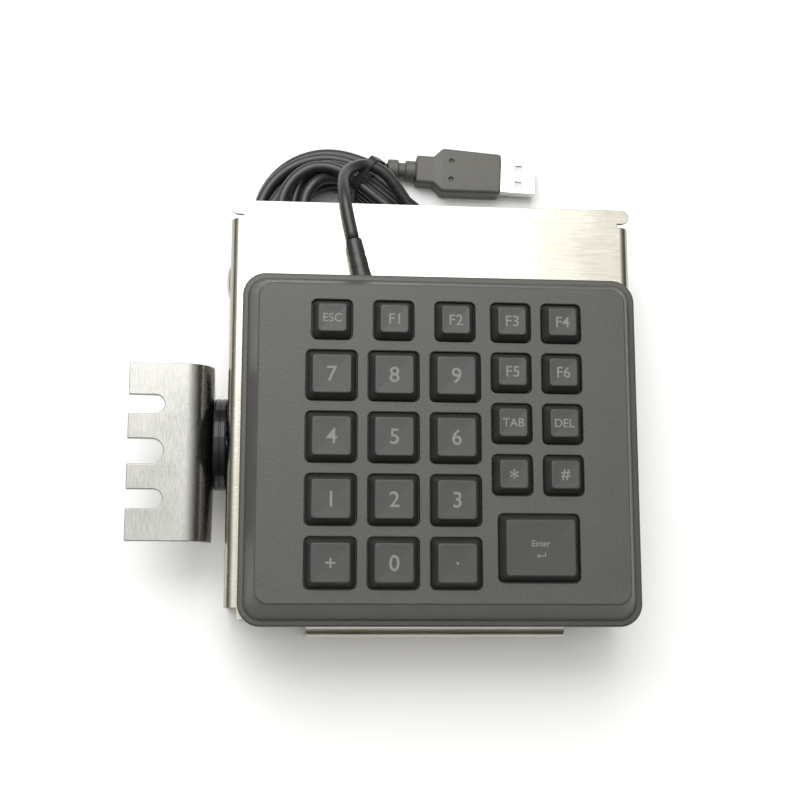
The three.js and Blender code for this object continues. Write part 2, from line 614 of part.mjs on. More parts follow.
function cableCoil() {
  const oval = (path, radius, lift) => {
    path.absarc(0, lift, radius, Math.PI / 2, 1.5 * Math.PI, false);
    path.absarc(COIL.run, lift, radius, -Math.PI / 2, Math.PI / 2, false);
    path.closePath();
    return path;
  };
  const edge = 1.5;
  const outline = oval(new THREE.Shape(), COIL.outer, 0);
  outline.holes.push(oval(new THREE.Path(), COIL.hole, COIL.lean));
  const geometry = new THREE.ExtrudeGeometry(outline, {
    depth: COIL.z1 - COIL.z0 - 2 * edge,
    bevelThickness: edge,
    bevelSize: edge,
    bevelOffset: -edge,
    bevelSegments: 1,
    curveSegments: 14,
  });
  return atCoil(geometry.translate(0, 0, COIL.z0 + edge));
}

addPart('cable_coil', geometryOf(solidOf(cableCoil())), cordBlack);

// A band round one side of the coil, the lead that crosses it and the tail that leaves it.
function cableTie() {
  const frame = (by, halfWidth) => {
    const [x0, x1] = [TIE.along - halfWidth, TIE.along + halfWidth];
    return box(x0, x1, TIE.y0 - by, TIE.y1 + by, COIL.z0 - GAP - by, TIE.z1 + by);
  };
  return atCoil(carve([frame(TIE.t, TIE.w / 2)], [frame(0, TIE.w)]));
}

addPart('cable_tie', cableTie(), innerPlastic);

// ---------------------------------------------------------------- plug
// Drawn along +x from the cable end, then turned and set down on the table.
const PLUG_LIFT = PLUG_START.z;
const OVERMOLD_END = 39.7;
const setDown = (geometry) =>
  geometry.rotateZ(PLUG_TURN).translate(PLUG_START.x, PLUG_START.y, PLUG_LIFT);

function plugBody() {
  const core = rod(0, 12, 0, 0, 2.6, 16);
  const ribs = [[0, 3.8, 3.6], [6.2, 9.9, 3.5]].map(([x0, x1, r]) => rod(x0, x1, 0, 0, r, 16));
  const shoulder = box(9.9, 18, -5, 5, -3.5, 3.5);
  const outline = new THREE.Shape();
  outline.moveTo(16.2, -5);
  outline.lineTo(18.9, -8);
  outline.lineTo(OVERMOLD_END, -7.3);
  outline.lineTo(OVERMOLD_END, 7.3);
  outline.lineTo(18.9, 8);
  outline.lineTo(16.2, 5);
  outline.closePath();
  const bevel = { bevelThickness: 0.6, bevelSize: 0.5, bevelOffset: -0.5, bevelSegments: 1 };
  const grip = new THREE.ExtrudeGeometry(outline, { depth: 6.8, ...bevel }).translate(0, 0, -3.4);
  return carve([core, ...ribs, shoulder, grip]);
}

addPart('usb_plug_body', setDown(plugBody()), plugGrey);

const SHELL = { x0: OVERMOLD_END + GAP, x1: OVERMOLD_END + GAP + 12.2, w: 12, h: 4.5, t: 0.35 };
function plugShell() {
  const { x0, x1, w, h, t } = SHELL;
  const outside = box(x0, x1, -w / 2, w / 2, -h / 2, h / 2);
  const inside = box(x0 - 1, x1 + 1, -w / 2 + t, w / 2 - t, -h / 2 + t, h / 2 - t);
  const latches = [-2.9, 2.9].map((y) => box(x0 + 5, x0 + 7.4, y - 1.1, y + 1.1, -4, 4));
  return carve([outside], [inside, ...latches]);
}

addPart('usb_plug_shell', setDown(plugShell()), zinc);
const TONGUE = { w: 10.6, z0: -0.3, z1: 1.55 };
const tongue = box(SHELL.x0, SHELL.x1 - 0.6, -TONGUE.w / 2, TONGUE.w / 2, TONGUE.z0, TONGUE.z1);
addPart('usb_plug_tongue', setDown(tongue), paleNylon);

// The short stretch of cable between the coil and the plug.
const CORD_TAIL = [
  [15.6, 83.9, 3.4],
  [17.2, 83.05, 3.6],
  [18.6, 82.68, 3.85],
  [20.1, 82.53, 4],
];
addPart('usb_cable_tail', tube(CORD_TAIL, CORD_R, 8, 4), cordBlack);

// ---------------------------------------------------------------- origin
const centreX = (BRACKET.x0 + TRAY.x1) / 2;
const centreY = (APRON.y + TRAY_REAR_Y) / 2;
keypad.position.set(-centreX, -centreY, 0);

export default keypad;
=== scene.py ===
import json
import math

import bmesh
import bpy
from mathutils import Euler, Matrix, Vector

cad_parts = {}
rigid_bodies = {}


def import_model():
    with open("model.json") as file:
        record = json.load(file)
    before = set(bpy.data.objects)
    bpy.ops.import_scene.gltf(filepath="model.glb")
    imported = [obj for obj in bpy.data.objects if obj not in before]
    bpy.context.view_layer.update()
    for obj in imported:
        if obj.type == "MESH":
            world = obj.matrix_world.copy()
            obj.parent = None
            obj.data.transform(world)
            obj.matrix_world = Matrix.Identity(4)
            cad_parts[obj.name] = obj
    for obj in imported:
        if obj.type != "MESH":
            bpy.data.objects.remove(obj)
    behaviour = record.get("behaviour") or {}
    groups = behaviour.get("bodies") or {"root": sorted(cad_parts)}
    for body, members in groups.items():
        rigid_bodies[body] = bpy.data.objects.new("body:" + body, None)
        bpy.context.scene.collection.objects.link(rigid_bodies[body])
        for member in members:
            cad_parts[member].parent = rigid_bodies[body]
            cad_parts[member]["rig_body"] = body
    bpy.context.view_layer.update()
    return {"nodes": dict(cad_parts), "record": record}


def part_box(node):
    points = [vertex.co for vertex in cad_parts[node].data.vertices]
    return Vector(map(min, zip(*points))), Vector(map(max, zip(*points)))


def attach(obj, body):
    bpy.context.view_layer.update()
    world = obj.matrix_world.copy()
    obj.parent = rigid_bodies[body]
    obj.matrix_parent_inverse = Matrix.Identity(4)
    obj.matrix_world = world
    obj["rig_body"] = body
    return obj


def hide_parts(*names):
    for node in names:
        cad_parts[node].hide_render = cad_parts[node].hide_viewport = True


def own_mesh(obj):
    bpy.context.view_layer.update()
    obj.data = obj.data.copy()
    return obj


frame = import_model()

# Keypad on a sheet-metal tray, with a tilting side bracket and a coiled USB lead.
# Metres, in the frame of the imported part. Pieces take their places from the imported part's own boxes;
# the cord follows a route of its own, and its coil is worked out turn by turn.

MM = 0.001
NODES = frame["nodes"]
SCENE = bpy.context.scene


# ---------------------------------------------------------------- camera
CAMERA_PLACE = (-0.03197, -0.06468, 0.44710)
CAMERA_TILT = (math.radians(9.476), math.radians(-5.060), math.radians(0.033))
CAMERA_LENS_MM = 59.38


def make_camera():
    data = bpy.data.cameras.new("camera")
    data.lens = CAMERA_LENS_MM
    data.sensor_width = 36
    data.clip_start = 0.01
    camera = bpy.data.objects.new("camera", data)
    camera.location = CAMERA_PLACE
    camera.rotation_euler = Euler(CAMERA_TILT)
    SCENE.collection.objects.link(camera)
    SCENE.camera = camera


make_camera()


# ---------------------------------------------------------------- cord
CORD_DIAMETER = 4 * MM
CORD_ROUTE = [
    (-0.01066, 0.05657, 0.03510),
    (-0.01170, 0.06130, 0.03480),
    (-0.01270, 0.06600, 0.03480),
    (-0.01330, 0.06930, 0.03460),
    (-0.01370, 0.07230, 0.03360),
    (-0.01390, 0.07500, 0.03190),
    (-0.01405, 0.07760, 0.02980),
    (-0.01390, 0.08020, 0.02750),
    (-0.01310, 0.08280, 0.02520),
    (-0.01140, 0.08510, 0.02310),
    (-0.00920, 0.08680, 0.02140),
    (-0.00660, 0.08765, 0.02030),
    (-0.00380, 0.08755, 0.01980),
    (-0.00120, 0.08660, 0.01975),
    (0.00120, 0.08480, 0.01930),
    (0.00350, 0.08250, 0.01840),
    (0.00560, 0.07990, 0.01730),
    (0.00750, 0.07730, 0.01630),
]
CORD_TAIL = [
    (-0.01180, 0.09610, 0.00380),
    (-0.00870, 0.09510, 0.00390),
    (-0.00580, 0.09400, 0.00400),
    (-0.00320, 0.09300, 0.00400),
    (-0.00080, 0.09225, 0.00400),
    (0.00140, 0.09190, 0.00400),
    (0.00290, 0.09180, 0.00400),
]

# The coil is an oval: two round ends joined by a straight run that goes down to the right.
COIL_END = Vector((-0.01860, 0.07010, 0))
COIL_TURN = math.radians(-37.6)
COIL_ALONG = Vector((math.cos(COIL_TURN), math.sin(COIL_TURN), 0))
COIL_ACROSS = Vector((-math.sin(COIL_TURN), math.cos(COIL_TURN), 0))
COIL_RUN = 22 * MM
LOWEST_LEVEL = 3.2 * MM
LEVEL_PITCH = 4.04 * MM
LANE_PITCH = 4.03 * MM
OUTER_LANE = 24.2 * MM
# Beds of the turns, in the order wound: (level, lane on the tied side, distance of the far side in mm).
COIL_BEDS = (
    (3, 1, 15.2), (3, 2, 6.2), (2, 2, 11.3), (2, 1, 20.2), (1, 1, 17.0),
    (1, 2, 8.0), (0, 2, 10.0), (0, 1, 19.0), (0, 0, 24.2), (1, 0, 24.2), (0.35, -0.72, 23.4),
)
COIL_ENTRY = 0.132
COIL_LEAVE = 9.93
BED_CHANGE = 0.13                # part of a turn in which the cord moves to its next bed
BED_STAGGER = 0.041              # and how much sooner each later turn does so
STRAIGHT_SHARE = 0.142
STEPS_PER_TURN = 48
COIL_SAG = 1.0 * MM              # how far the turns settle away from the tie
SAG_REACH = 22 * MM
CORD_SIDES = 16


def link(name, data):
    thing = bpy.data.objects.new(name, data)
    SCENE.collection.objects.link(thing)
    return thing


def ease(t):
    t = min(max(t, 0.0), 1.0)
    return t * t * (3 - 2 * t)


def oval_place(part, near, far):
    """Where an oval turn passes at a part of the way round, clockwise from the tie. Its straight sides
    lie near and far from the line between the two ends."""
    radius, shift = (near + far) / 2, (near - far) / 2
    if part < STRAIGHT_SHARE:
        return COIL_ALONG * (COIL_RUN * part / STRAIGHT_SHARE) + COIL_ACROSS * near
    if 0.5 <= part < 0.5 + STRAIGHT_SHARE:
        left = 1 - (part - 0.5) / STRAIGHT_SHARE
        return COIL_ALONG * (COIL_RUN * left) - COIL_ACROSS * far
    swept = (part % 0.5 - STRAIGHT_SHARE) / (0.5 - STRAIGHT_SHARE)
    at_right = part < 0.5
    angle = math.pi * (0.5 - swept) if at_right else math.pi * (1.5 - swept)
    end = COIL_ALONG * (COIL_RUN if at_right else 0) + COIL_ACROSS * shift
    return end + COIL_ALONG * (radius * math.cos(angle)) + COIL_ACROSS * (radius * math.sin(angle))


def coil_points():
    """The turns of the coil, clockwise from its top turn to the turn that leaves for the plug."""
    count = round((COIL_LEAVE - COIL_ENTRY) * STEPS_PER_TURN)
    points = []
    for i in range(count + 1):
        turned = COIL_ENTRY + (COIL_LEAVE - COIL_ENTRY) * i / count
        turn = int(turned)
        part = turned - turn
        change_start = 0.5 + BED_STAGGER * (len(COIL_BEDS) - 2 - turn)
        moved = ease((part - change_start) / BED_CHANGE)
        level, lane, far = (a + (b - a) * moved for a, b in zip(COIL_BEDS[turn], COIL_BEDS[turn + 1]))
        place = COIL_END + oval_place(part, OUTER_LANE - LANE_PITCH * lane, far * MM)
        off_tie = (place - COIL_END - COIL_ACROSS * OUTER_LANE).length
        settled = COIL_SAG * (1 - math.exp(-((off_tie / SAG_REACH) ** 2)))
        points.append((place.x, place.y, LOWEST_LEVEL + LEVEL_PITCH * level - settled))
    return points


def smoothed(points, between):
    """A line through the points with some more between each two, as a Catmull-Rom curve."""
    places = [Vector(p) for p in points]
    places = [places[0] * 2 - places[1], *places, places[-1] * 2 - places[-2]]
    line = []
    for before, start, end, after in zip(places, places[1:], places[2:], places[3:]):
        for i in range(between):
            t = i / between
            line.append(start + ((end - before) * t + (before * 2 - start * 5 + end * 4 - after) * t ** 2
                                 + (start * 3 - end * 3 + after - before) * t ** 3) * 0.5)
    return [*line, places[-2]]


def evened(line, rounds):
    """Takes the small kinks out of a line; its ends stay."""
    for _ in range(rounds):
        line = [line[0], *((a + b * 2 + c) / 4 for a, b, c in zip(line, line[1:], line[2:])), line[-1]]
    return line


def tube(name, line, radius, sides):
    """A round section carried along a line without twist and closed at both ends."""
    work = bmesh.new()
    forward = (line[1] - line[0]).normalized()
    side = forward.orthogonal().normalized()
    angles = [2 * math.pi * k / sides for k in range(sides)]
    rows = []
    for i, place in enumerate(line):
        ahead = (line[min(i + 1, len(line) - 1)] - line[max(i - 1, 0)]).normalized()
        side = (side - ahead * side.dot(ahead)).normalized()
        up = ahead.cross(side)
        ring = [place + (side * math.cos(a) + up * math.sin(a)) * radius for a in angles]
        rows.append([work.verts.new(point) for point in ring])
    for here, there in zip(rows, rows[1:]):
        for i in range(sides):
            j = (i + 1) % sides
            work.faces.new((here[i], here[j], there[j], there[i]))
    work.faces.new(list(reversed(rows[0])))
    work.faces.new(rows[-1])
    mesh = bpy.data.meshes.new(name)
    work.to_mesh(mesh)
    work.free()
    mesh.polygons.foreach_set("use_smooth", [True] * len(mesh.polygons))
    return link(name, mesh)


POINTS_BETWEEN = 2
EVENING_ROUNDS = 8
CORD_LINE = evened(smoothed([*CORD_ROUTE, *coil_points(), *CORD_TAIL], POINTS_BETWEEN), EVENING_ROUNDS)


def make_cord():
    cord = tube("usb_cord", CORD_LINE, CORD_DIAMETER / 2, CORD_SIDES)
    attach(cord, "base")
    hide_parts("usb_cable_lead", "cable_coil", "usb_cable_tail")
    return cord


cord = make_cord()


# ---------------------------------------------------------------- materials
BANDS_PER_SCALE = 3              # a wave texture of scale 1 has about three bands to the unit


class Finish:
    """A Principled material with the procedural fields that feed it, in the object's own metres."""

    def __init__(self, name, **constants):
        self.material = bpy.data.materials.new(name)
        self.material.use_nodes = True
        self.tree = self.material.node_tree
        self.shader = self.tree.nodes["Principled BSDF"]
        self.place = self.tree.nodes.new("ShaderNodeTexCoord").outputs["Object"]
        for key, value in constants.items():
            self.shader.inputs[key.replace("_", " ")].default_value = value

    def stretched(self, stretch):
        node = self.tree.nodes.new("ShaderNodeMapping")
        node.inputs["Scale"].default_value = stretch
        self.tree.links.new(self.place, node.inputs["Vector"])
        return node.outputs["Vector"]

    def noise(self, size, detail=3.0, roughness=0.55, stretch=(1, 1, 1)):
        """Cloudy field whose features are about size metres across."""
        node = self.tree.nodes.new("ShaderNodeTexNoise")
        node.inputs["Scale"].default_value = 1 / size
        node.inputs["Detail"].default_value = detail
        node.inputs["Roughness"].default_value = roughness
        self.tree.links.new(self.stretched(stretch), node.inputs["Vector"])
        return node.outputs["Fac"]

    def cells(self, size):
        """Grain of rounded cells about size metres across."""
        node = self.tree.nodes.new("ShaderNodeTexVoronoi")
        node.feature = "SMOOTH_F1"
        node.inputs["Scale"].default_value = 1 / size
        node.inputs["Smoothness"].default_value = 0.6
        self.tree.links.new(self.place, node.inputs["Vector"])
        return node.outputs["Distance"]

    def waves(self, size, direction, distortion):
        """Wavering bands about size metres apart."""
        node = self.tree.nodes.new("ShaderNodeTexWave")
        node.bands_direction = direction
        node.inputs["Scale"].default_value = 1 / size / BANDS_PER_SCALE
        node.inputs["Distortion"].default_value = distortion
        self.tree.links.new(self.place, node.inputs["Vector"])
        return node.outputs["Fac"]

    def levels(self, field, low, high, start=0.3, end=0.7):
        """The stretch of a field from start to end, turned into values from low to high."""
        node = self.tree.nodes.new("ShaderNodeMapRange")
        for key, value in zip(("From Min", "From Max", "To Min", "To Max"), (start, end, low, high)):
            node.inputs[key].default_value = value
        self.tree.links.new(field, node.inputs["Value"])
        return node.outputs["Result"]

    def combine(self, first, second, operation="ADD"):
        node = self.tree.nodes.new("ShaderNodeMath")
        node.operation = operation
        for socket, field in zip(node.inputs, (first, second)):
            if isinstance(field, (int, float)):
                socket.default_value = field
            else:
                self.tree.links.new(field, socket)
        return node.outputs["Value"]

    def colours(self, field, *stops):
        """Colour ramp along a field; each stop is (position, (red, green, blue))."""
        node = self.tree.nodes.new("ShaderNodeValToRGB")
        ramp = node.color_ramp
        while len(ramp.elements) < len(stops):
            ramp.elements.new(0.5)
        for element, (position, colour) in zip(ramp.elements, stops):
            element.position = position
            element.color = (*colour, 1)
        self.tree.links.new(field, node.inputs["Fac"])
        return node.outputs["Color"]

    def multiplied(self, first, second):
        node = self.tree.nodes.new("ShaderNodeMix")
        node.data_type = "RGBA"
        node.blend_type = "MULTIPLY"
        sockets = {socket.identifier: socket for socket in node.inputs}
        sockets["Factor_Float"].default_value = 1.0
        self.tree.links.new(first, sockets["A_Color"])
        self.tree.links.new(second, sockets["B_Color"])
        return next(s for s in node.outputs if s.identifier == "Result_Color")

    def bump(self, *heights):
        """Stacks (field, depth in metres) pairs into the shader's normal."""
        below = None
        for field, depth in heights:
            node = self.tree.nodes.new("ShaderNodeBump")
            node.inputs["Distance"].default_value = depth
            self.tree.links.new(field, node.inputs["Height"])
            if below is not None:
                self.tree.links.new(below, node.inputs["Normal"])
            below = node.outputs["Normal"]
        self.tree.links.new(below, self.shader.inputs["Normal"])
        return self

    def colour(self, field):
        self.tree.links.new(field, self.shader.inputs["Base Color"])
        return self

    def gloss(self, field):
        self.tree.links.new(field, self.shader.inputs["Roughness"])
        return self


def cover_finish():
    """Spark-textured black ABS, slightly greyed."""
    paint = Finish("cover_plastic", IOR=1.5)
    grain = paint.cells(0.75 * MM)
    fine = paint.noise(0.45 * MM, 4, 0.65)
    cloud = paint.noise(16 * MM, 4)
    base = paint.colours(cloud, (0.3, (0.050, 0.050, 0.0478)), (0.7, (0.063, 0.062, 0.0588)))
    speck = paint.colours(fine, (0.35, (0.7, 0.7, 0.7)), (0.7, (1.38, 1.37, 1.33)))
    paint.colour(paint.multiplied(base, speck))
    paint.gloss(paint.combine(paint.levels(cloud, 0.42, 0.5), paint.levels(fine, -0.05, 0.05)))
    return paint.bump((grain, 0.035 * MM), (fine, 0.02 * MM)).material


def key_finish():
    """Finer-grained ABS, polished where fingers touch it."""
    paint = Finish("key_plastic", IOR=1.5)
    fine = paint.noise(0.18 * MM, 4)
    cloud = paint.noise(7 * MM, 3)
    base = paint.colours(cloud, (0.3, (0.030, 0.030, 0.0285)), (0.7, (0.038, 0.0375, 0.036)))
    speck = paint.colours(fine, (0.35, (0.84, 0.84, 0.84)), (0.7, (1.2, 1.2, 1.16)))
    paint.colour(paint.multiplied(base, speck))
    paint.gloss(paint.combine(paint.levels(cloud, 0.38, 0.47), paint.levels(fine, -0.04, 0.04)))
    return paint.bump((paint.cells(0.4 * MM), 0.016 * MM), (fine, 0.012 * MM)).material


def legend_finish():
    """Pale pad-printed ink, thin in places."""
    paint = Finish("legend_ink", IOR=1.45)
    wear = paint.noise(0.5 * MM, 5, 0.7)
    paint.colour(paint.colours(wear, (0.28, (0.14, 0.14, 0.13)), (0.55, (0.20, 0.20, 0.19))))
    paint.gloss(paint.levels(wear, 0.5, 0.62))
    return paint.bump((wear, 0.008 * MM)).material


def inner_finish():
    paint = Finish("inner_plastic", IOR=1.5)
    cloud = paint.noise(3 * MM, 4)
    paint.colour(paint.colours(cloud, (0.3, (0.011, 0.011, 0.012)), (0.7, (0.018, 0.018, 0.018))))
    paint.gloss(paint.levels(cloud, 0.42, 0.6))
    return paint.bump((paint.noise(0.3 * MM, 3), 0.012 * MM)).material


def silicone_finish():
    paint = Finish("silicone", Subsurface_Weight=0.15, Subsurface_Scale=0.001)
    cloud = paint.noise(5 * MM, 3)
    paint.colour(paint.colours(cloud, (0.3, (0.46, 0.45, 0.41)), (0.7, (0.53, 0.52, 0.48))))
    paint.gloss(paint.levels(cloud, 0.55, 0.75))
    return paint.bump((paint.noise(0.5 * MM, 2), 0.01 * MM)).material


def film_finish():
    """Polyester film with printed silver tracks under it."""
    paint = Finish("film", Coat_Weight=0.4, Coat_Roughness=0.2)
    tracks = paint.levels(paint.waves(3.2 * MM, "X", 1.2), 0, 1, 0.82, 0.9)
    base = paint.colours(tracks, (0.0, (0.20, 0.25, 0.15)), (1.0, (0.45, 0.46, 0.42)))
    paint.colour(base).gloss(paint.levels(paint.noise(4 * MM), 0.2, 0.32))
    return paint.bump((tracks, 0.01 * MM)).material


def board_finish():
    """Green solder mask over copper tracks."""
    paint = Finish("board", Coat_Weight=0.5, Coat_Roughness=0.15)
    tracks = paint.levels(paint.waves(1.6 * MM, "DIAGONAL", 3.0), 0, 1, 0.6, 0.7)
    base = paint.colours(tracks, (0.0, (0.010, 0.085, 0.030)), (1.0, (0.022, 0.16, 0.058)))
    paint.colour(base).gloss(paint.levels(paint.noise(2 * MM), 0.3, 0.42))
    return paint.bump((tracks, 0.02 * MM)).material


def chip_finish():
    paint = Finish("chip", IOR=1.5)
    fine = paint.noise(0.12 * MM, 4)
    paint.colour(paint.colours(fine, (0.3, (0.008, 0.008, 0.008)), (0.7, (0.02, 0.02, 0.02))))
    paint.gloss(paint.levels(fine, 0.45, 0.62))
    return paint.bump((fine, 0.01 * MM)).material


def sheet_finish(name, low, high, rough, streak, depth):
    """Rolled or brushed sheet metal: long fine streaks and a slow cloud of tone."""
    paint = Finish(name, Metallic=1.0)
    lines = paint.noise(0.35 * MM, 5, 0.65, streak)
    cloud = paint.noise(14 * MM, 4, 0.6)
    tone = paint.combine(paint.combine(lines, 0.6, "MULTIPLY"), paint.combine(cloud, 0.4, "MULTIPLY"))
    paint.colour(paint.colours(tone, (0.36, low), (0.62, high)))
    dulling = paint.levels(cloud, rough - 0.03, rough + 0.04)
    paint.gloss(paint.combine(paint.levels(lines, -0.06, 0.06), dulling))
    return paint.bump((lines, depth), (paint.noise(0.15 * MM, 3), depth * 0.5)).material


def zinc_finish():
    """Bright zinc plate with faint turning marks and a slight yellow bloom."""
    paint = Finish("zinc", Metallic=1.0)
    bloom = paint.noise(2.5 * MM, 4, 0.6)
    paint.colour(paint.colours(bloom, (0.35, (0.56, 0.56, 0.55)), (0.7, (0.70, 0.69, 0.65))))
    paint.gloss(paint.levels(bloom, 0.22, 0.36))
    return paint.bump((paint.noise(0.2 * MM, 3), 0.006 * MM)).material


def gloss_black_finish():
    """Polished acetal with a few fine rubs."""
    paint = Finish("gloss_black", IOR=1.36)
    rubs = paint.noise(0.6 * MM, 5, 0.7, (1, 1, 0.25))
    paint.colour(paint.colours(rubs, (0.3, (0.006, 0.006, 0.007)), (0.75, (0.014, 0.014, 0.015))))
    paint.gloss(paint.levels(rubs, 0.12, 0.26, 0.4, 0.8))
    return paint.bump((rubs, 0.003 * MM)).material


def cord_finish():
    """Soft PVC jacket with the faint flow lines of extrusion."""
    paint = Finish("cord_black", IOR=1.5)
    cloud = paint.noise(4 * MM, 4, 0.6)
    fine = paint.noise(0.3 * MM, 4, 0.6)
    paint.colour(paint.colours(cloud, (0.3, (0.014, 0.014, 0.014)), (0.7, (0.024, 0.024, 0.023))))
    paint.gloss(paint.combine(paint.levels(cloud, 0.3, 0.38), paint.levels(fine, -0.03, 0.04)))
    return paint.bump((fine, 0.012 * MM), (paint.noise(1.6 * MM, 2), 0.03 * MM)).material


def plug_finish():
    """Matt moulded PVC with a fine leather-like grain."""
    paint = Finish("plug_grey", IOR=1.5)
    grain = paint.cells(0.45 * MM)
    cloud = paint.noise(5 * MM, 3)
    paint.colour(paint.colours(cloud, (0.3, (0.072, 0.070, 0.060)), (0.7, (0.092, 0.089, 0.077))))
    paint.gloss(paint.combine(paint.levels(cloud, 0.42, 0.5), paint.levels(grain, 0.0, 0.06, 0.1, 0.6)))
    return paint.bump((grain, 0.03 * MM), (paint.noise(0.2 * MM, 3), 0.01 * MM)).material


def plated_finish():
    """Nickel-plated connector shell."""
    paint = Finish("plug_metal", Metallic=1.0)
    lines = paint.noise(0.3 * MM, 4, 0.6, (0.06, 1, 1))
    paint.colour(paint.colours(lines, (0.3, (0.70, 0.69, 0.66)), (0.7, (0.82, 0.81, 0.78))))
    paint.gloss(paint.levels(lines, 0.14, 0.26))
    return paint.bump((lines, 0.004 * MM)).material


def nylon_finish():
    """Natural nylon, slightly yellow."""
    paint = Finish("pale_nylon", Subsurface_Weight=0.1, Subsurface_Scale=0.0005)
    cloud = paint.noise(2 * MM, 3)
    paint.colour(paint.colours(cloud, (0.3, (0.62, 0.60, 0.55)), (0.7, (0.70, 0.68, 0.62))))
    paint.gloss(paint.levels(cloud, 0.4, 0.5))
    return paint.bump((paint.noise(0.3 * MM, 3), 0.01 * MM)).material


def floor_finish():
    paint = Finish("floor", IOR=1.4)
    cloud = paint.noise(0.12, 4)
    paint.colour(paint.colours(cloud, (0.3, (0.94, 0.94, 0.94)), (0.7, (0.96, 0.96, 0.955))))
    paint.gloss(paint.levels(cloud, 0.72, 0.85))
    return paint.bump((paint.noise(0.8 * MM, 3), 0.02 * MM)).material


FINISHES = {
    "cover_plastic": cover_finish(),
    "key_plastic": key_finish(),
    "inner_plastic": inner_finish(),
    "silicone": silicone_finish(),
    "film": film_finish(),
    "board": board_finish(),
    "chip": chip_finish(),
    "tray_metal": sheet_finish(
        "tray_metal", (0.345, 0.33, 0.285), (0.43, 0.412, 0.362), 0.22, (0.035, 1, 1), 0.012 * MM),
    "bracket_metal": sheet_finish(
        "bracket_metal", (0.26, 0.26, 0.245), (0.325, 0.32, 0.304), 0.26, (1, 0.12, 1), 0.008 * MM),
    "zinc": zinc_finish(),
    "gloss_black": gloss_black_finish(),
    "cord_black": cord_finish(),
    "plug_grey": plug_finish(),
    "plug_metal": plated_finish(),
    "pale_nylon": nylon_finish(),
    "legend_ink": legend_finish(),
}
SLOT_OF = {row["node"]: row["material_slot"] for row in frame["record"]["subparts"]}


def paint_piece(piece, slot_name):
    piece.data.materials.clear()
    piece.data.materials.append(FINISHES[slot_name])


paint_piece(cord, "cord_black")
for node_name, node in NODES.items():
    node.data.materials.clear()
    node.data.materials.append(FINISHES[SLOT_OF[node_name]])


# ---------------------------------------------------------------- mesh tools
SMOOTH_ANGLE = math.radians(32)
SHARP_ANGLE = math.radians(40)
FLAT_ANGLE = math.radians(0.5)
WELD = 0.002 * MM


def shade(piece, angle=SMOOTH_ANGLE):
    """Smooth over small angles, sharp over large ones, with the flats kept flat."""
    mesh = piece.data
    mesh.polygons.foreach_set("use_smooth", [True] * len(mesh.polygons))
    mesh.set_sharp_from_angle(angle=angle)
    weighted = piece.modifiers.new("weighted", "WEIGHTED_NORMAL")
    weighted.keep_sharp = True


def plain_object(name, work):
    bmesh.ops.recalc_face_normals(work, faces=work.faces)
    mesh = bpy.data.meshes.new(name)
    work.to_mesh(mesh)
    work.free()
    return link(name, mesh)


def finish_piece(piece, slot_name, body="base", replaced=None, angle=SMOOTH_ANGLE):
    """Paints and shades a piece that rides on a body and may stand for a CAD node."""
    paint_piece(piece, slot_name)
    shade(piece, angle)
    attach(piece, body)
    if replaced:
        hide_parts(replaced)
    return piece


def loft(work, rings):
    """A closed skin through rings of equally many points, capped at both ends."""
    rows = [[work.verts.new(point) for point in ring] for ring in rings]
    for lower, upper in zip(rows, rows[1:]):
        for i in range(len(lower)):
            j = (i + 1) % len(lower)
            work.faces.new((lower[i], lower[j], upper[j], upper[i]))
    work.faces.new(list(reversed(rows[0])))
    work.faces.new(rows[-1])


def rounded(x0, x1, y0, y1, radius, z, steps=8):
    """Points of a rounded rectangle at height z, counter-clockwise."""
    radius = min(radius, (x1 - x0) / 2, (y1 - y0) / 2)
    corners = (
        (x1 - radius, y0 + radius, -90),
        (x1 - radius, y1 - radius, 0),
        (x0 + radius, y1 - radius, 90),
        (x0 + radius, y0 + radius, 180),
    )
    points = []
    for cx, cy, start in corners:
        for i in range(steps + 1):
            a = math.radians(start + 90 * i / steps)
            points.append((cx + radius * math.cos(a), cy + radius * math.sin(a), z))
    return points


def box_ring(low, high, inset, radius, z, steps=8):
    """A rounded rectangle set in from a box by inset on every side."""
    return rounded(low.x + inset, high.x - inset, low.y + inset, high.y - inset, radius, z, steps)


def subtract(piece, cutter):
    """Cuts one mesh object out of another and removes the cutter."""
    cut = piece.modifiers.new("cut", "BOOLEAN")
    cut.operation = "DIFFERENCE"
    cut.solver = "EXACT"
    cut.object = cutter
    depsgraph = bpy.context.evaluated_depsgraph_get()
    result = bpy.data.meshes.new_from_object(piece.evaluated_get(depsgraph))
    piece.modifiers.remove(cut)
    piece.data = result
    bpy.data.objects.remove(cutter)


def refined(node_name, bevel):
    """A CAD node's own shape with its triangles merged into flats and its edges rounded."""
    work = bmesh.new()
    work.from_mesh(NODES[node_name].data)
    bmesh.ops.remove_doubles(work, verts=work.verts, dist=WELD)
    bmesh.ops.dissolve_limit(work, angle_limit=FLAT_ANGLE, verts=work.verts, edges=work.edges)
    sharp = [e for e in work.edges if len(e.link_faces) == 2 and e.calc_face_angle() > SHARP_ANGLE]
    bmesh.ops.bevel(work, geom=sharp, offset=bevel, offset_type="OFFSET", segments=3,
                    profile=0.5, affect="EDGES", clamp_overlap=False)
    body = NODES[node_name]["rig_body"]
    finish_piece(plain_object(f"{node_name}_detail", work), SLOT_OF[node_name], body, node_name)


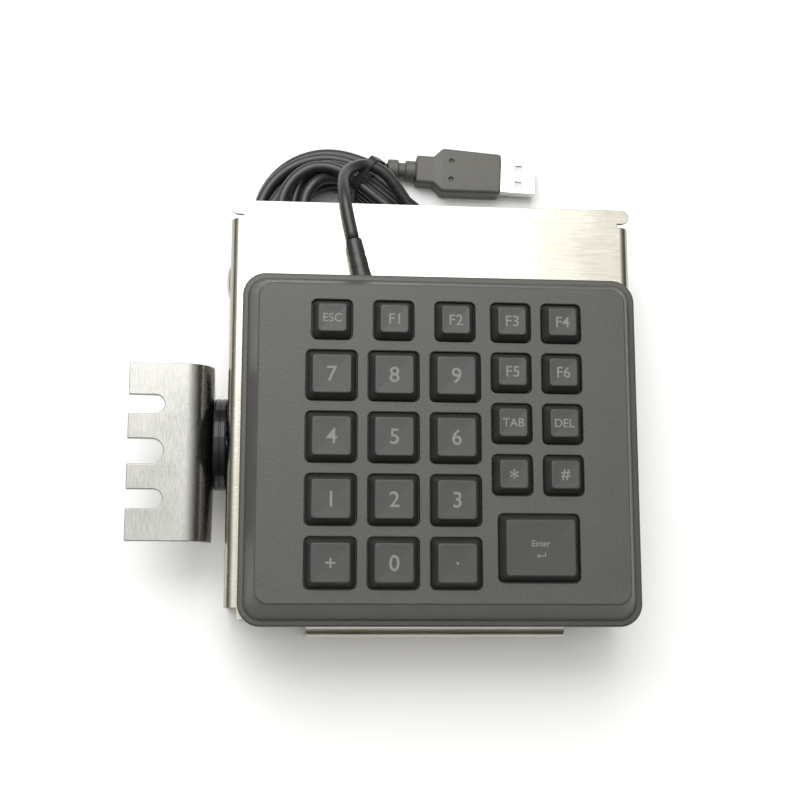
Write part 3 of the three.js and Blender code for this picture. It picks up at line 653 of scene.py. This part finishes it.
def turned(name, profile, axis_point, axis, segments=48, closed=False):
    """A profile of (distance along axis, radius) pairs turned round an axis; a closed one is a ring."""
    work = bmesh.new()
    side = axis.orthogonal().normalized()
    up = axis.cross(side)
    rings = []
    for along, radius in profile:
        centre = axis_point + axis * along
        angles = [2 * math.pi * i / segments for i in range(segments)]
        rings.append([centre + (side * math.cos(a) + up * math.sin(a)) * radius for a in angles])
    if closed:
        rows = [[work.verts.new(point) for point in ring] for ring in rings]
        for lower, upper in zip(rows, rows[1:] + rows[:1]):
            for i in range(segments):
                j = (i + 1) % segments
                work.faces.new((lower[i], lower[j], upper[j], upper[i]))
    else:
        loft(work, rings)
    return plain_object(name, work)


# ---------------------------------------------------------------- keys
KEY_FLANGE = 1.0 * MM
KEY_TAPER = 1.4 * MM
KEY_SKIRT_TOP = 3.6 * MM
KEY_FLANGE_TOP = 5.3 * MM
KEY_DISH = 0.15 * MM
KEY_CROWN = 0.06 * MM
KEY_ROUND = 0.55 * MM
KEY_SIDE_WALL = 1.2 * MM
KEY_ROOF = 1.4 * MM
KEY_CORNER = 1.5 * MM            # corner radius at the foot of the slanted sides
FLANGE_CORNER = 2.1 * MM
FLANGE_EASE = 0.15 * MM
STEM_HALF = 2.5 * MM
STEM_CHAMFER = 0.4 * MM
KEY_STEPS = 6


def key_rings(low, high):
    """Rings of a keycap from the middle of its dished top to the end of its stem."""
    top = high.z
    edge = KEY_FLANGE + KEY_TAPER
    reach = min(high.x - low.x, high.y - low.y) / 2 - edge - KEY_ROUND
    rings = []

    def add(inset, radius, z):
        rings.append(box_ring(low, high, inset, radius, z, KEY_STEPS))

    for part in (0.12, 0.3, 0.5, 0.68, 0.84, 1.0):
        sag = KEY_DISH * (1 - part ** 2)
        add(edge + KEY_ROUND + reach * (1 - part), 0.6 * MM * part + 0.05 * MM, top - KEY_CROWN - sag)
    slope = math.atan2(KEY_TAPER, KEY_SKIRT_TOP)
    for i in range(1, 7):
        a = (math.pi / 2 - slope) * i / 6
        height = top - KEY_CROWN - KEY_ROUND * (1 - math.cos(a))
        add(edge + KEY_ROUND * (1 - math.sin(a)), (0.65 + 0.09 * i) * MM, height)
    add(KEY_FLANGE, KEY_CORNER, top - KEY_SKIRT_TOP)
    flange_top = top - KEY_FLANGE_TOP
    flange_bottom = flange_top - KEY_FLANGE
    add(KEY_FLANGE, KEY_CORNER, flange_top)
    add(FLANGE_EASE, 2.0 * MM, flange_top)
    add(0, FLANGE_CORNER, flange_top - FLANGE_EASE)
    add(0, FLANGE_CORNER, flange_bottom)
    add(KEY_FLANGE + KEY_SIDE_WALL, 0.9 * MM, flange_bottom)
    add(edge + KEY_SIDE_WALL, 0.6 * MM, top - KEY_ROOF)
    centre = (low + high) / 2
    for chamfer, height in ((0, top - KEY_ROOF), (0, low.z + STEM_CHAMFER), (STEM_CHAMFER, low.z)):
        half = STEM_HALF - chamfer
        rings.append(rounded(centre.x - half, centre.x + half, centre.y - half, centre.y + half,
                             0.5 * MM, height, KEY_STEPS))
    return rings


def key_nodes():
    return [name for name in NODES if name.startswith("key_") and name != "key_guide_frame"]


def make_key(name):
    low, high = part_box(name)
    work = bmesh.new()
    loft(work, key_rings(low, high))
    finish_piece(plain_object(f"{name}_cap", work), "key_plastic", name, name)


LEGEND_LIFT = 0.03 * MM
LEGEND_DEPTH = 0.12 * MM
# Text and height of its capitals in mm; a key that isn't here carries its own digit.
LEGENDS = {
    "esc": ("ESC", 2.7), "f1": ("F1", 3.5), "f2": ("F2", 3.5), "f3": ("F3", 3.5), "f4": ("F4", 3.5),
    "f5": ("F5", 3.5), "f6": ("F6", 3.5), "tab": ("TAB", 2.7), "del": ("DEL", 2.7),
    "star": ("*", 4.6), "hash": ("#", 3.4), "plus": ("+", 4.4), "dot": (".", 4.4),
    "enter": ("Enter", 1.9),
}
DIGIT_HEIGHT = 4.9
CAP_HEIGHT = 0.73                # height of a capital as a share of the font's size
SINGLE_SWELL = 0.06 * MM         # how much bolder than the font a single character is
WORD_SWELL = 0.03 * MM
ENTER_WORD_RISE = 1.3 * MM
RETURN_ARROW = [(1.12, 0.52), (1.12, -0.41), (-0.52, -0.41), (-0.52, 0.11), (-1.42, -0.56), (-0.52, -1.24),
                (-0.52, -0.71), (1.42, -0.71), (1.42, 0.52)]
RETURN_DROP = 1.9 * MM


def dish_height(low, high, x, y):
    """Height of a key's concave top at a point inside its rim."""
    edge = KEY_FLANGE + KEY_TAPER + KEY_ROUND
    centre = (low + high) / 2
    half_x, half_y = (high.x - low.x) / 2, (high.y - low.y) / 2
    from_rim = min(half_x - abs(x - centre.x), half_y - abs(y - centre.y)) - edge
    part = min(max(1 - from_rim / (min(half_x, half_y) - edge), 0.0), 1.0)
    return high.z - KEY_CROWN - KEY_DISH * (1 - part ** 2)


def print_on_key(mark, name, shift):
    """Lays a flat mark on a key's concave top, sunk so that only its ink stands proud."""
    low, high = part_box(name)
    for vertex in mark.data.vertices:
        x, y = vertex.co.x + shift.x, vertex.co.y + shift.y
        lift = LEGEND_LIFT if vertex.co.z > 0 else LEGEND_LIFT - LEGEND_DEPTH
        vertex.co = (x, y, dish_height(low, high, x, y) + lift)
    paint_piece(mark, "legend_ink")
    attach(mark, name)


def make_legend(name):
    """The lettering of a key, centred on its top."""
    key = name.removeprefix("key_")
    text, height = LEGENDS.get(key, (key, DIGIT_HEIGHT))
    low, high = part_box(name)
    data = bpy.data.curves.new(f"legend_{key}", "FONT")
    data.body = text
    data.size = height * MM / CAP_HEIGHT
    data.extrude = LEGEND_DEPTH / 2
    data.offset = SINGLE_SWELL if len(text) == 1 else WORD_SWELL
    lettering = link(f"lettering_{key}", data)
    bpy.context.view_layer.update()
    corners = [Vector(c) for c in lettering.bound_box]
    middle = sum(corners, Vector()) / len(corners)
    rise = Vector((0, ENTER_WORD_RISE if key == "enter" else 0, 0))
    depsgraph = bpy.context.evaluated_depsgraph_get()
    mesh = bpy.data.meshes.new_from_object(lettering.evaluated_get(depsgraph))
    bpy.data.objects.remove(lettering)
    print_on_key(link(f"legend_{key}", mesh), name, (low + high) / 2 - middle + rise)


def make_return_arrow():
    """The bent arrow below the word on the Enter key."""
    low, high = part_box("key_enter")
    half = LEGEND_DEPTH / 2
    work = bmesh.new()
    loft(work, [[(x * MM, y * MM, z) for x, y in RETURN_ARROW] for z in (-half, half)])
    shift = (low + high) / 2 - Vector((0, RETURN_DROP, 0))
    print_on_key(plain_object("legend_return", work), "key_enter", shift)


for key_name in key_nodes():
    make_key(key_name)
    make_legend(key_name)
make_return_arrow()


# ---------------------------------------------------------------- covers
# How far the sides stand in from the box of the top cover, in mm.
RIM_INSET = {"left": 0, "right": 0, "front": 0, "rear": 0}
FACE_INSET = {"left": 5.0, "right": 5.4, "front": 6.4, "rear": 5.2}
FOOT_INSET = {"left": 1.8, "right": 2.2, "front": 2.0, "rear": 2.0}
COVER_STEPS = 12
COVER_HEIGHT = 12 * MM
LEDGE_RISE = 3.0 * MM
LEDGE_ROUND = 0.8 * MM
COVER_WALL = 2.0 * MM
FACE_ROUND = 0.7 * MM
FACE_ROUND_DROP = 0.75 * FACE_ROUND
FACE_ROUND_END = math.radians(62)
WINDOW_PLAY = 0.4 * MM
WINDOW_CORNER = 1.7 * MM
WINDOW_FLARE = 0.35 * MM


def set_in(low, high, insets, extra, radius, z):
    """A rounded rectangle set in from a box by its own inset on each side, and by extra on all."""
    return rounded(
        low.x + insets["left"] * MM + extra, high.x - insets["right"] * MM - extra,
        low.y + insets["front"] * MM + extra, high.y - insets["rear"] * MM - extra,
        radius, z, COVER_STEPS)


def make_top_cover():
    """Hollow cover with slanted sides, a ledge round its foot and a window for each key."""
    low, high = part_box("top_cover")
    rim = high.z - COVER_HEIGHT
    ledge = rim + LEDGE_RISE
    rings = [
        set_in(low, high, FACE_INSET, 2.5 * MM, 3.0 * MM, high.z - COVER_WALL),
        set_in(low, high, FOOT_INSET, COVER_WALL, 3.6 * MM, ledge - 1.4 * MM),
        set_in(low, high, RIM_INSET, COVER_WALL, 5.2 * MM, ledge - 1.8 * MM),
        set_in(low, high, RIM_INSET, COVER_WALL, 5.2 * MM, rim),
        set_in(low, high, RIM_INSET, 0.15 * MM, 7.0 * MM, rim),
        set_in(low, high, RIM_INSET, 0, 7.2 * MM, rim + 0.15 * MM),
    ]
    for i in range(7):
        a = math.pi / 2 * i / 6
        in_by = 1 - math.cos(a)
        height = ledge - 0.85 * MM + LEDGE_ROUND * math.sin(a)
        rings.append(set_in(low, high, RIM_INSET, LEDGE_ROUND * in_by, (7.2 - 0.6 * in_by) * MM, height))
    for extra, radius, lift in ((-0.35, 5.95, -0.03), (-0.1, 5.7, 0.06), (0, 5.6, 0.3)):
        rings.append(set_in(low, high, FOOT_INSET, extra * MM, radius * MM, ledge + lift * MM))
    slope_top = high.z - FACE_ROUND_DROP
    rings.append(set_in(low, high, FACE_INSET, 0.02 * MM, 4.5 * MM, slope_top))
    for i in range(1, 7):
        in_by = math.sin(FACE_ROUND_END * i / 6)
        height = slope_top + FACE_ROUND_DROP * math.sin(math.pi / 2 * i / 6)
        rings.append(set_in(low, high, FACE_INSET, FACE_ROUND * in_by, (4.5 - 0.5 * in_by) * MM, height))
    work = bmesh.new()
    loft(work, rings)
    cover = plain_object("top_cover_shell", work)
    subtract(cover, window_cutter())
    finish_piece(cover, "cover_plastic", "base", "top_cover")


def window_cutter():
    """One mesh of all key windows, each flared at the face so that its edge comes out rounded."""
    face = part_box("top_cover")[1].z
    work = bmesh.new()
    for name in key_nodes():
        low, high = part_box(name)
        inset = KEY_FLANGE - WINDOW_PLAY
        rings = [box_ring(low, high, inset, WINDOW_CORNER, height, KEY_STEPS)
                 for height in (face - 4 * MM, face - WINDOW_FLARE)]
        for i in range(1, 6):
            a = math.pi / 2 * i / 5
            out_by = WINDOW_FLARE * (1 - math.cos(a))
            height = face - WINDOW_FLARE + WINDOW_FLARE * math.sin(a)
            rings.append(box_ring(low, high, inset - out_by, WINDOW_CORNER + out_by, height, KEY_STEPS))
        rings.append(box_ring(low, high, inset - WINDOW_FLARE, WINDOW_CORNER + WINDOW_FLARE,
                              face + 1 * MM, KEY_STEPS))
        loft(work, rings)
    return plain_object("window_cutter", work)


make_top_cover()


TUB_ROUND = 0.8 * MM
EXIT_FROM_BOOT_EDGE = 4.2 * MM   # the lead leaves this far left of the boot's own right edge
NOTCH_HALF = 3.1 * MM


def make_bottom_cover():
    """Tub with a stepped lip and a notch in its rear wall for the boot."""
    low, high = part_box("bottom_cover")
    body_top = high.z - 1.3 * MM
    floor_top = low.z + 1.6 * MM
    rings = [
        box_ring(low, high, 3.1 * MM, 5.0 * MM, floor_top),
        box_ring(low, high, 1.8 * MM, 5.2 * MM, floor_top + 0.8 * MM),
        box_ring(low, high, 1.8 * MM, 5.2 * MM, high.z),
        box_ring(low, high, 0.8 * MM, 5.4 * MM, high.z),
        box_ring(low, high, 0.8 * MM, 5.4 * MM, body_top),
        box_ring(low, high, 0.12 * MM, 5.7 * MM, body_top),
        box_ring(low, high, 0, 5.7 * MM, body_top - 0.12 * MM),
    ]
    for i in range(7):
        a = math.pi / 2 * i / 6
        in_by = 1 - math.cos(a)
        height = low.z + TUB_ROUND * (1 - math.sin(a))
        rings.append(box_ring(low, high, TUB_ROUND * in_by, (5.7 - 0.7 * in_by) * MM, height))
    work = bmesh.new()
    loft(work, rings)
    tub = plain_object("bottom_cover_tub", work)
    exit_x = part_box("cable_strain_relief")[1].x - EXIT_FROM_BOOT_EDGE
    notch = bmesh.new()
    loft(notch, [
        rounded(exit_x - NOTCH_HALF, exit_x + NOTCH_HALF, high.y - 6 * MM, high.y + 3 * MM, 0.3 * MM, z, 3)
        for z in (low.z + 0.8 * MM, high.z + 2 * MM)])
    subtract(tub, plain_object("exit_notch", notch))
    finish_piece(tub, "cover_plastic", "base", "bottom_cover")


make_bottom_cover()


# ---------------------------------------------------------------- dome mat
MAT_THICKNESS = 0.8 * MM
UPWARD = Vector((0, 0, 1))
# Height above the sheet and radius, in mm, from the middle of the hollow out and over the dome.
DOME_PROFILE = (
    (1.75, 0.05), (1.75, 1.9), (1.6, 2.1), (0.25, 3.7), (0.0, 3.9), (0.0, 4.5), (0.2, 4.4), (0.5, 4.05),
    (1.7, 2.95), (2.1, 2.8), (2.3, 2.6), (2.38, 2.3), (2.38, 0.05),
)


def make_dome_mat():
    """Silicone sheet with a hollow dome under each key."""
    low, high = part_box("rubber_dome_mat")
    sheet_top = low.z + MAT_THICKNESS
    work = bmesh.new()
    loft(work, [box_ring(low, high, inset * MM, 2 * MM, z) for inset, z in (
        (0.1, low.z), (0, low.z + 0.1 * MM), (0, sheet_top - 0.1 * MM), (0.1, sheet_top))])
    finish_piece(plain_object("dome_sheet", work), "silicone", "base", "rubber_dome_mat")
    for name in key_nodes():
        key = name.removeprefix("key_")
        middle = sum(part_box(name), Vector()) / 2
        foot = Vector((middle.x, middle.y, sheet_top))
        profile = [(height * MM, radius * MM) for height, radius in DOME_PROFILE]
        dome = finish_piece(turned(f"dome_{key}", profile, foot, UPWARD, 32), "silicone")
        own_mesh(dome)


make_dome_mat()


# ---------------------------------------------------------------- sheet metal and fasteners
refined("mounting_tray", 0.22 * MM)
refined("pivot_bracket", 0.3 * MM)
for index in range(1, 5):
    refined(f"tray_screw_{index}", 0.15 * MM)
    refined(f"case_screw_{index}", 0.15 * MM)
for node_name, bevel in (("pivot_nut", 0.35), ("pivot_bolt", 0.3), ("pivot_washer", 0.15),
                         ("usb_plug_shell", 0.08), ("usb_plug_tongue", 0.15)):
    refined(node_name, bevel * MM)

ALONG_X = Vector((1, 0, 0))


def make_rivet():
    """Domed rivet, closed on the inner side of the flange."""
    low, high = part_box("flange_rivet")
    centre = (low + high) / 2
    start = Vector((low.x, centre.y, centre.z))
    radius = (high.z - low.z) / 2
    length = high.x - low.x
    dome = 1.25 * MM
    shank = 2.4 * MM
    profile = [(0.0, 0.05 * MM)]
    for i in range(1, 11):
        a = math.pi / 2 * i / 10
        profile.append((dome * (1 - math.cos(a)), radius * math.sin(a) ** 0.9))
    profile += [(dome, shank), (length - 0.8 * MM, shank), (length - 0.8 * MM, 3.4 * MM),
                (length - 0.1 * MM, 3.0 * MM), (length, 0.05 * MM)]
    finish_piece(turned("flange_rivet_head", profile, start, ALONG_X), "tray_metal", "base", "flange_rivet")


def make_spacer():
    """Turned ring with rounded rims and a shallow groove round its middle."""
    low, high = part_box("pivot_spacer")
    centre = (low + high) / 2
    start = Vector((low.x, centre.y, centre.z))
    width = high.x - low.x
    radius = (high.z - low.z) / 2
    bore = 3.3 * MM
    round_r = 0.6 * MM
    groove = 0.25 * MM
    profile = [(0.0, bore + 0.2 * MM), (0.0, radius - round_r)]
    for i in range(1, 6):
        a = math.pi / 2 * i / 5
        profile.append((round_r * (1 - math.cos(a)), radius - round_r * (1 - math.sin(a))))
    profile += [(width * 0.42, radius), (width * 0.46, radius - groove),
                (width * 0.54, radius - groove), (width * 0.58, radius)]
    for i in range(6):
        a = math.pi / 2 * i / 5
        profile.append((width - round_r * (1 - math.sin(a)), radius - round_r * (1 - math.cos(a))))
    profile += [(width, bore + 0.2 * MM), (width - 0.2 * MM, bore), (0.2 * MM, bore)]
    ring = turned("pivot_spacer_ring", profile, start, ALONG_X, 72, closed=True)
    finish_piece(ring, "gloss_black", "base", "pivot_spacer")


make_rivet()
make_spacer()


# ---------------------------------------------------------------- strain relief
BOOT_GROOVES = 2
EXIT_HEIGHT = 35.6 * MM


def make_boot():
    """Tapered boot round the cord, with shallow flex grooves, and its foot in the rear wall."""
    exit_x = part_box("cable_strain_relief")[1].x - EXIT_FROM_BOOT_EDGE
    tip = Vector(CORD_ROUTE[0])
    root = Vector((exit_x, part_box("top_cover")[1].y + 0.3 * MM, EXIT_HEIGHT))
    axis = (tip - root).normalized()
    length = (tip - root).length
    profile = [(-0.6 * MM, 0.2 * MM), (-0.6 * MM, 3.3 * MM), (0.0, 3.3 * MM), (0.5 * MM, 3.1 * MM)]
    start, step = 2.4 * MM, (length - 4.2 * MM) / BOOT_GROOVES
    for i in range(BOOT_GROOVES):
        at = start + i * step
        for offset, dip in ((0.0, 0.0), (0.3, 0.1), (0.9, 0.1), (1.2, 0.0)):
            along = at + offset * MM
            profile.append((along, (3.1 - 0.5 * along / length - dip) * MM))
    profile += [(length - 0.5 * MM, 2.62 * MM), (length - 0.15 * MM, 2.5 * MM), (length, 2.2 * MM),
                (length, 1.0 * MM)]
    boot = turned("cable_boot", profile, root, axis, 40)
    finish_piece(boot, "cord_black", "base", "cable_strain_relief")
    foot = bmesh.new()
    for x, y0, y1, z0, z1 in ((4.2, -5.6, -3.6, -1.3, 3.4), (2.8, -4.6, -0.1, -2.1, 2.1)):
        loft(foot, [rounded(root.x - x * MM, root.x + x * MM, root.y + y0 * MM, root.y + y1 * MM,
                            0.4 * MM, root.z + z * MM, 3) for z in (z0, z1)])
    finish_piece(plain_object("cable_boot_foot", foot), "cord_black")


make_boot()


# ---------------------------------------------------------------- cable tie
TIE_ALONG = 0.5 * MM
TIE_HALF_WIDTH = 1.3 * MM
TIE_THICKNESS = 0.8 * MM
TIE_PLAY = 0.08 * MM
TIE_SPOTS = 72
# Middles of the strands inside the band: distance across the coil and height, in mm.
TIED_STRANDS = (
    (16.1, 3.2), (16.1, 15.3), (20.2, 15.3), (22.7, 19.85), (24.2, 7.25), (28.6, 4.1), (24.2, 3.2),
)
TIE_LOCK_BETWEEN = (5, 3)        # the strands that the lock's side of the band is drawn over
# Section of the strap: parts of its half width and of its thickness.
TIE_SECTION = (
    (-1.0, 0.12), (-0.92, 0.0), (0.92, 0.0), (1.0, 0.12),
    (1.0, 0.88), (0.92, 1.0), (-0.92, 1.0), (-1.0, 0.88),
)


def hull_round(circles, spots):
    """A band drawn tight round circles, as (centre of the circle it lies on, unit direction) pairs."""
    directions = [Vector((math.cos(2 * math.pi * i / spots), math.sin(2 * math.pi * i / spots)))
                  for i in range(spots)]
    return [(max(circles, key=lambda centre: centre.dot(d)), d) for d in directions]


def tie_place(spot, along):
    """A point of the tie: a spot in the plane across the coil, moved along the coil."""
    middle = COIL_END + COIL_ALONG * TIE_ALONG
    return middle + COIL_ACROSS * spot.x + COIL_ALONG * along + Vector((0, 0, spot.y))


def make_tie():
    """Nylon strap drawn tight round the turns, the lead that crosses them and the tail, with its lock."""
    circles = [Vector((across * MM, height * MM)) for across, height in TIED_STRANDS]
    inner = CORD_DIAMETER / 2 + TIE_PLAY
    outer = inner + TIE_THICKNESS
    work = bmesh.new()
    rows = []
    for centre, direction in hull_round(circles, TIE_SPOTS):
        row = [tie_place(centre + direction * (inner + (outer - inner) * depth), side * TIE_HALF_WIDTH)
               for side, depth in TIE_SECTION]
        rows.append([work.verts.new(point) for point in row])
    for here, there in zip(rows, rows[1:] + rows[:1]):
        for i in range(len(TIE_SECTION)):
            j = (i + 1) % len(TIE_SECTION)
            work.faces.new((here[i], here[j], there[j], there[i]))
    strap = plain_object("cable_tie_strap", work)
    finish_piece(strap, "inner_plastic", "base", "cable_tie")
    side_start, side_end = (circles[index] for index in TIE_LOCK_BETWEEN)
    run = (side_end - side_start).normalized()
    outward = Vector((-run.y, run.x))
    seat = side_start.lerp(side_end, 0.45) + outward * (outer - 0.1 * MM)
    rings = []
    for inset, lift in ((0.3, 0.0), (0.0, 0.0), (0.0, 1.7), (0.35, 2.1)):
        half_run, half_along = (2.3 - inset) * MM, (1.9 - inset) * MM
        corners = rounded(-half_run, half_run, -half_along, half_along, 0.5 * MM, 0, 4)
        rings.append([tie_place(seat + run * u + outward * (lift * MM), v) for u, v, _ in corners])
    lock = bmesh.new()
    loft(lock, rings)
    head = plain_object("cable_tie_lock", lock)
    finish_piece(head, "inner_plastic")
    return strap, head


tie_strap, tie_lock = make_tie()


# ---------------------------------------------------------------- plug
PLUG_TURN = math.radians(-2.5)
DIMPLE_AT = 22.2 * MM
DIMPLE_RADIUS = 1.0 * MM


def plug_section(half_width, half_height, corner):
    outline = rounded(-half_width, half_width, -half_height, half_height, corner, 0)
    return [(y, z) for y, z, _ in outline]


def make_plug_body():
    """Moulded plug body: a ribbed neck, a shoulder and a tapering grip."""
    start = Vector(CORD_TAIL[-1]) - Vector((0.2 * MM, 0, 0))
    forward = Vector((math.cos(PLUG_TURN), math.sin(PLUG_TURN), 0))
    sideways = Vector((-math.sin(PLUG_TURN), math.cos(PLUG_TURN), 0))
    # Distance along the plug, half width, half height and corner radius, in mm.
    stations = [
        (0.0, 3.1, 3.1, 3.1), (0.35, 3.55, 3.55, 3.55), (3.45, 3.55, 3.55, 3.55), (3.8, 3.2, 3.2, 3.2),
        (3.95, 2.6, 2.6, 2.6), (6.05, 2.6, 2.6, 2.6), (6.2, 3.1, 3.1, 3.1), (6.5, 3.5, 3.5, 3.5),
        (9.5, 3.5, 3.5, 3.5), (9.8, 3.2, 3.2, 3.2), (9.95, 3.0, 3.0, 2.6), (10.0, 4.6, 3.1, 1.2),
        (10.35, 5.0, 3.5, 1.2), (15.9, 5.0, 3.5, 1.2), (16.3, 5.2, 3.62, 1.2), (18.4, 7.35, 3.95, 1.3),
        (19.0, 7.85, 4.0, 1.3), (20.0, 8.0, 4.0, 1.3), (38.9, 7.3, 4.0, 1.3), (39.5, 7.1, 3.85, 1.3),
        (39.7, 6.6, 3.4, 1.0),
    ]
    work = bmesh.new()
    loft(work, [
        [start + forward * (s * MM) + sideways * y + UPWARD * z
         for y, z in plug_section(w * MM, h * MM, r * MM)]
        for s, w, h, r in stations])
    body = plain_object("usb_plug_grip", work)
    dimples = bmesh.new()
    for side in (-1, 1):
        centre = start + forward * DIMPLE_AT + sideways * (side * 3.3 * MM) + UPWARD * (4.15 * MM)
        bmesh.ops.create_uvsphere(dimples, u_segments=20, v_segments=10, radius=DIMPLE_RADIUS,
                                  matrix=Matrix.Translation(centre))
    subtract(body, plain_object("plug_dimples", dimples))
    finish_piece(body, "plug_grey", "base", "usb_plug_body", math.radians(36))
    return body


plug_grip = make_plug_body()


# ---------------------------------------------------------------- studio
FLOOR_HALF = 1.5
FLOOR_STEPS = 6
FLOOR_HEIGHT = -0.2 * MM


def make_floor():
    work = bmesh.new()
    marks = [FLOOR_HALF * (2 * i / FLOOR_STEPS - 1) for i in range(FLOOR_STEPS + 1)]
    grid = [[work.verts.new((x, y, FLOOR_HEIGHT)) for y in marks] for x in marks]
    for i in range(FLOOR_STEPS):
        for j in range(FLOOR_STEPS):
            work.faces.new((grid[i][j], grid[i + 1][j], grid[i + 1][j + 1], grid[i][j + 1]))
    floor = plain_object("floor", work)
    floor.data.materials.append(floor_finish())


SOFTBOX_PLACE = (-0.25, 0.65, 0.9)
SOFTBOX_SIDE = 0.9
SOFTBOX_POWER = 9.2


def make_softbox():
    """Square lamp above the table behind the object, pointing straight down."""
    data = bpy.data.lights.new("rear_softbox", "AREA")
    data.shape = "SQUARE"
    data.size = SOFTBOX_SIDE
    data.energy = SOFTBOX_POWER
    link("rear_softbox", data).location = SOFTBOX_PLACE


SKY_BRIGHT_SIDE = (-0.10, 0.25, 0.85)
SKY_STRENGTH = 1.9
# Tone of the sky by how far a direction leans to the bright side.
SKY_TONES = (
    (0.0, (0.05, 0.05, 0.045)),
    (0.35, (0.10, 0.097, 0.085)),
    (0.62, (0.30, 0.295, 0.28)),
    (0.78, (0.85, 0.845, 0.83)),
    (0.85, (1.0, 1.0, 0.985)),
)


def make_sky():
    """Pale overhead and behind, olive near the horizon and dark in front, as the bent metal mirrors it."""
    world = bpy.data.worlds.new("studio")
    world.use_nodes = True
    tree = world.node_tree
    lean = tree.nodes.new("ShaderNodeVectorMath")
    lean.operation = "DOT_PRODUCT"
    lean.inputs[1].default_value = SKY_BRIGHT_SIDE
    direction = tree.nodes.new("ShaderNodeTexCoord").outputs["Generated"]
    tree.links.new(direction, lean.inputs[0])
    tones = tree.nodes.new("ShaderNodeValToRGB")
    while len(tones.color_ramp.elements) < len(SKY_TONES):
        tones.color_ramp.elements.new(0.5)
    for element, (position, colour) in zip(tones.color_ramp.elements, SKY_TONES):
        element.position = position
        element.color = (*colour, 1)
    tree.links.new(lean.outputs["Value"], tones.inputs["Fac"])
    background = tree.nodes["Background"]
    tree.links.new(tones.outputs["Color"], background.inputs["Color"])
    background.inputs["Strength"].default_value = SKY_STRENGTH
    SCENE.world = world


def make_studio():
    make_floor()
    make_sky()
    SCENE.view_settings.view_transform = "Standard"
    make_softbox()


make_studio()

bpy.context.view_layer.update()
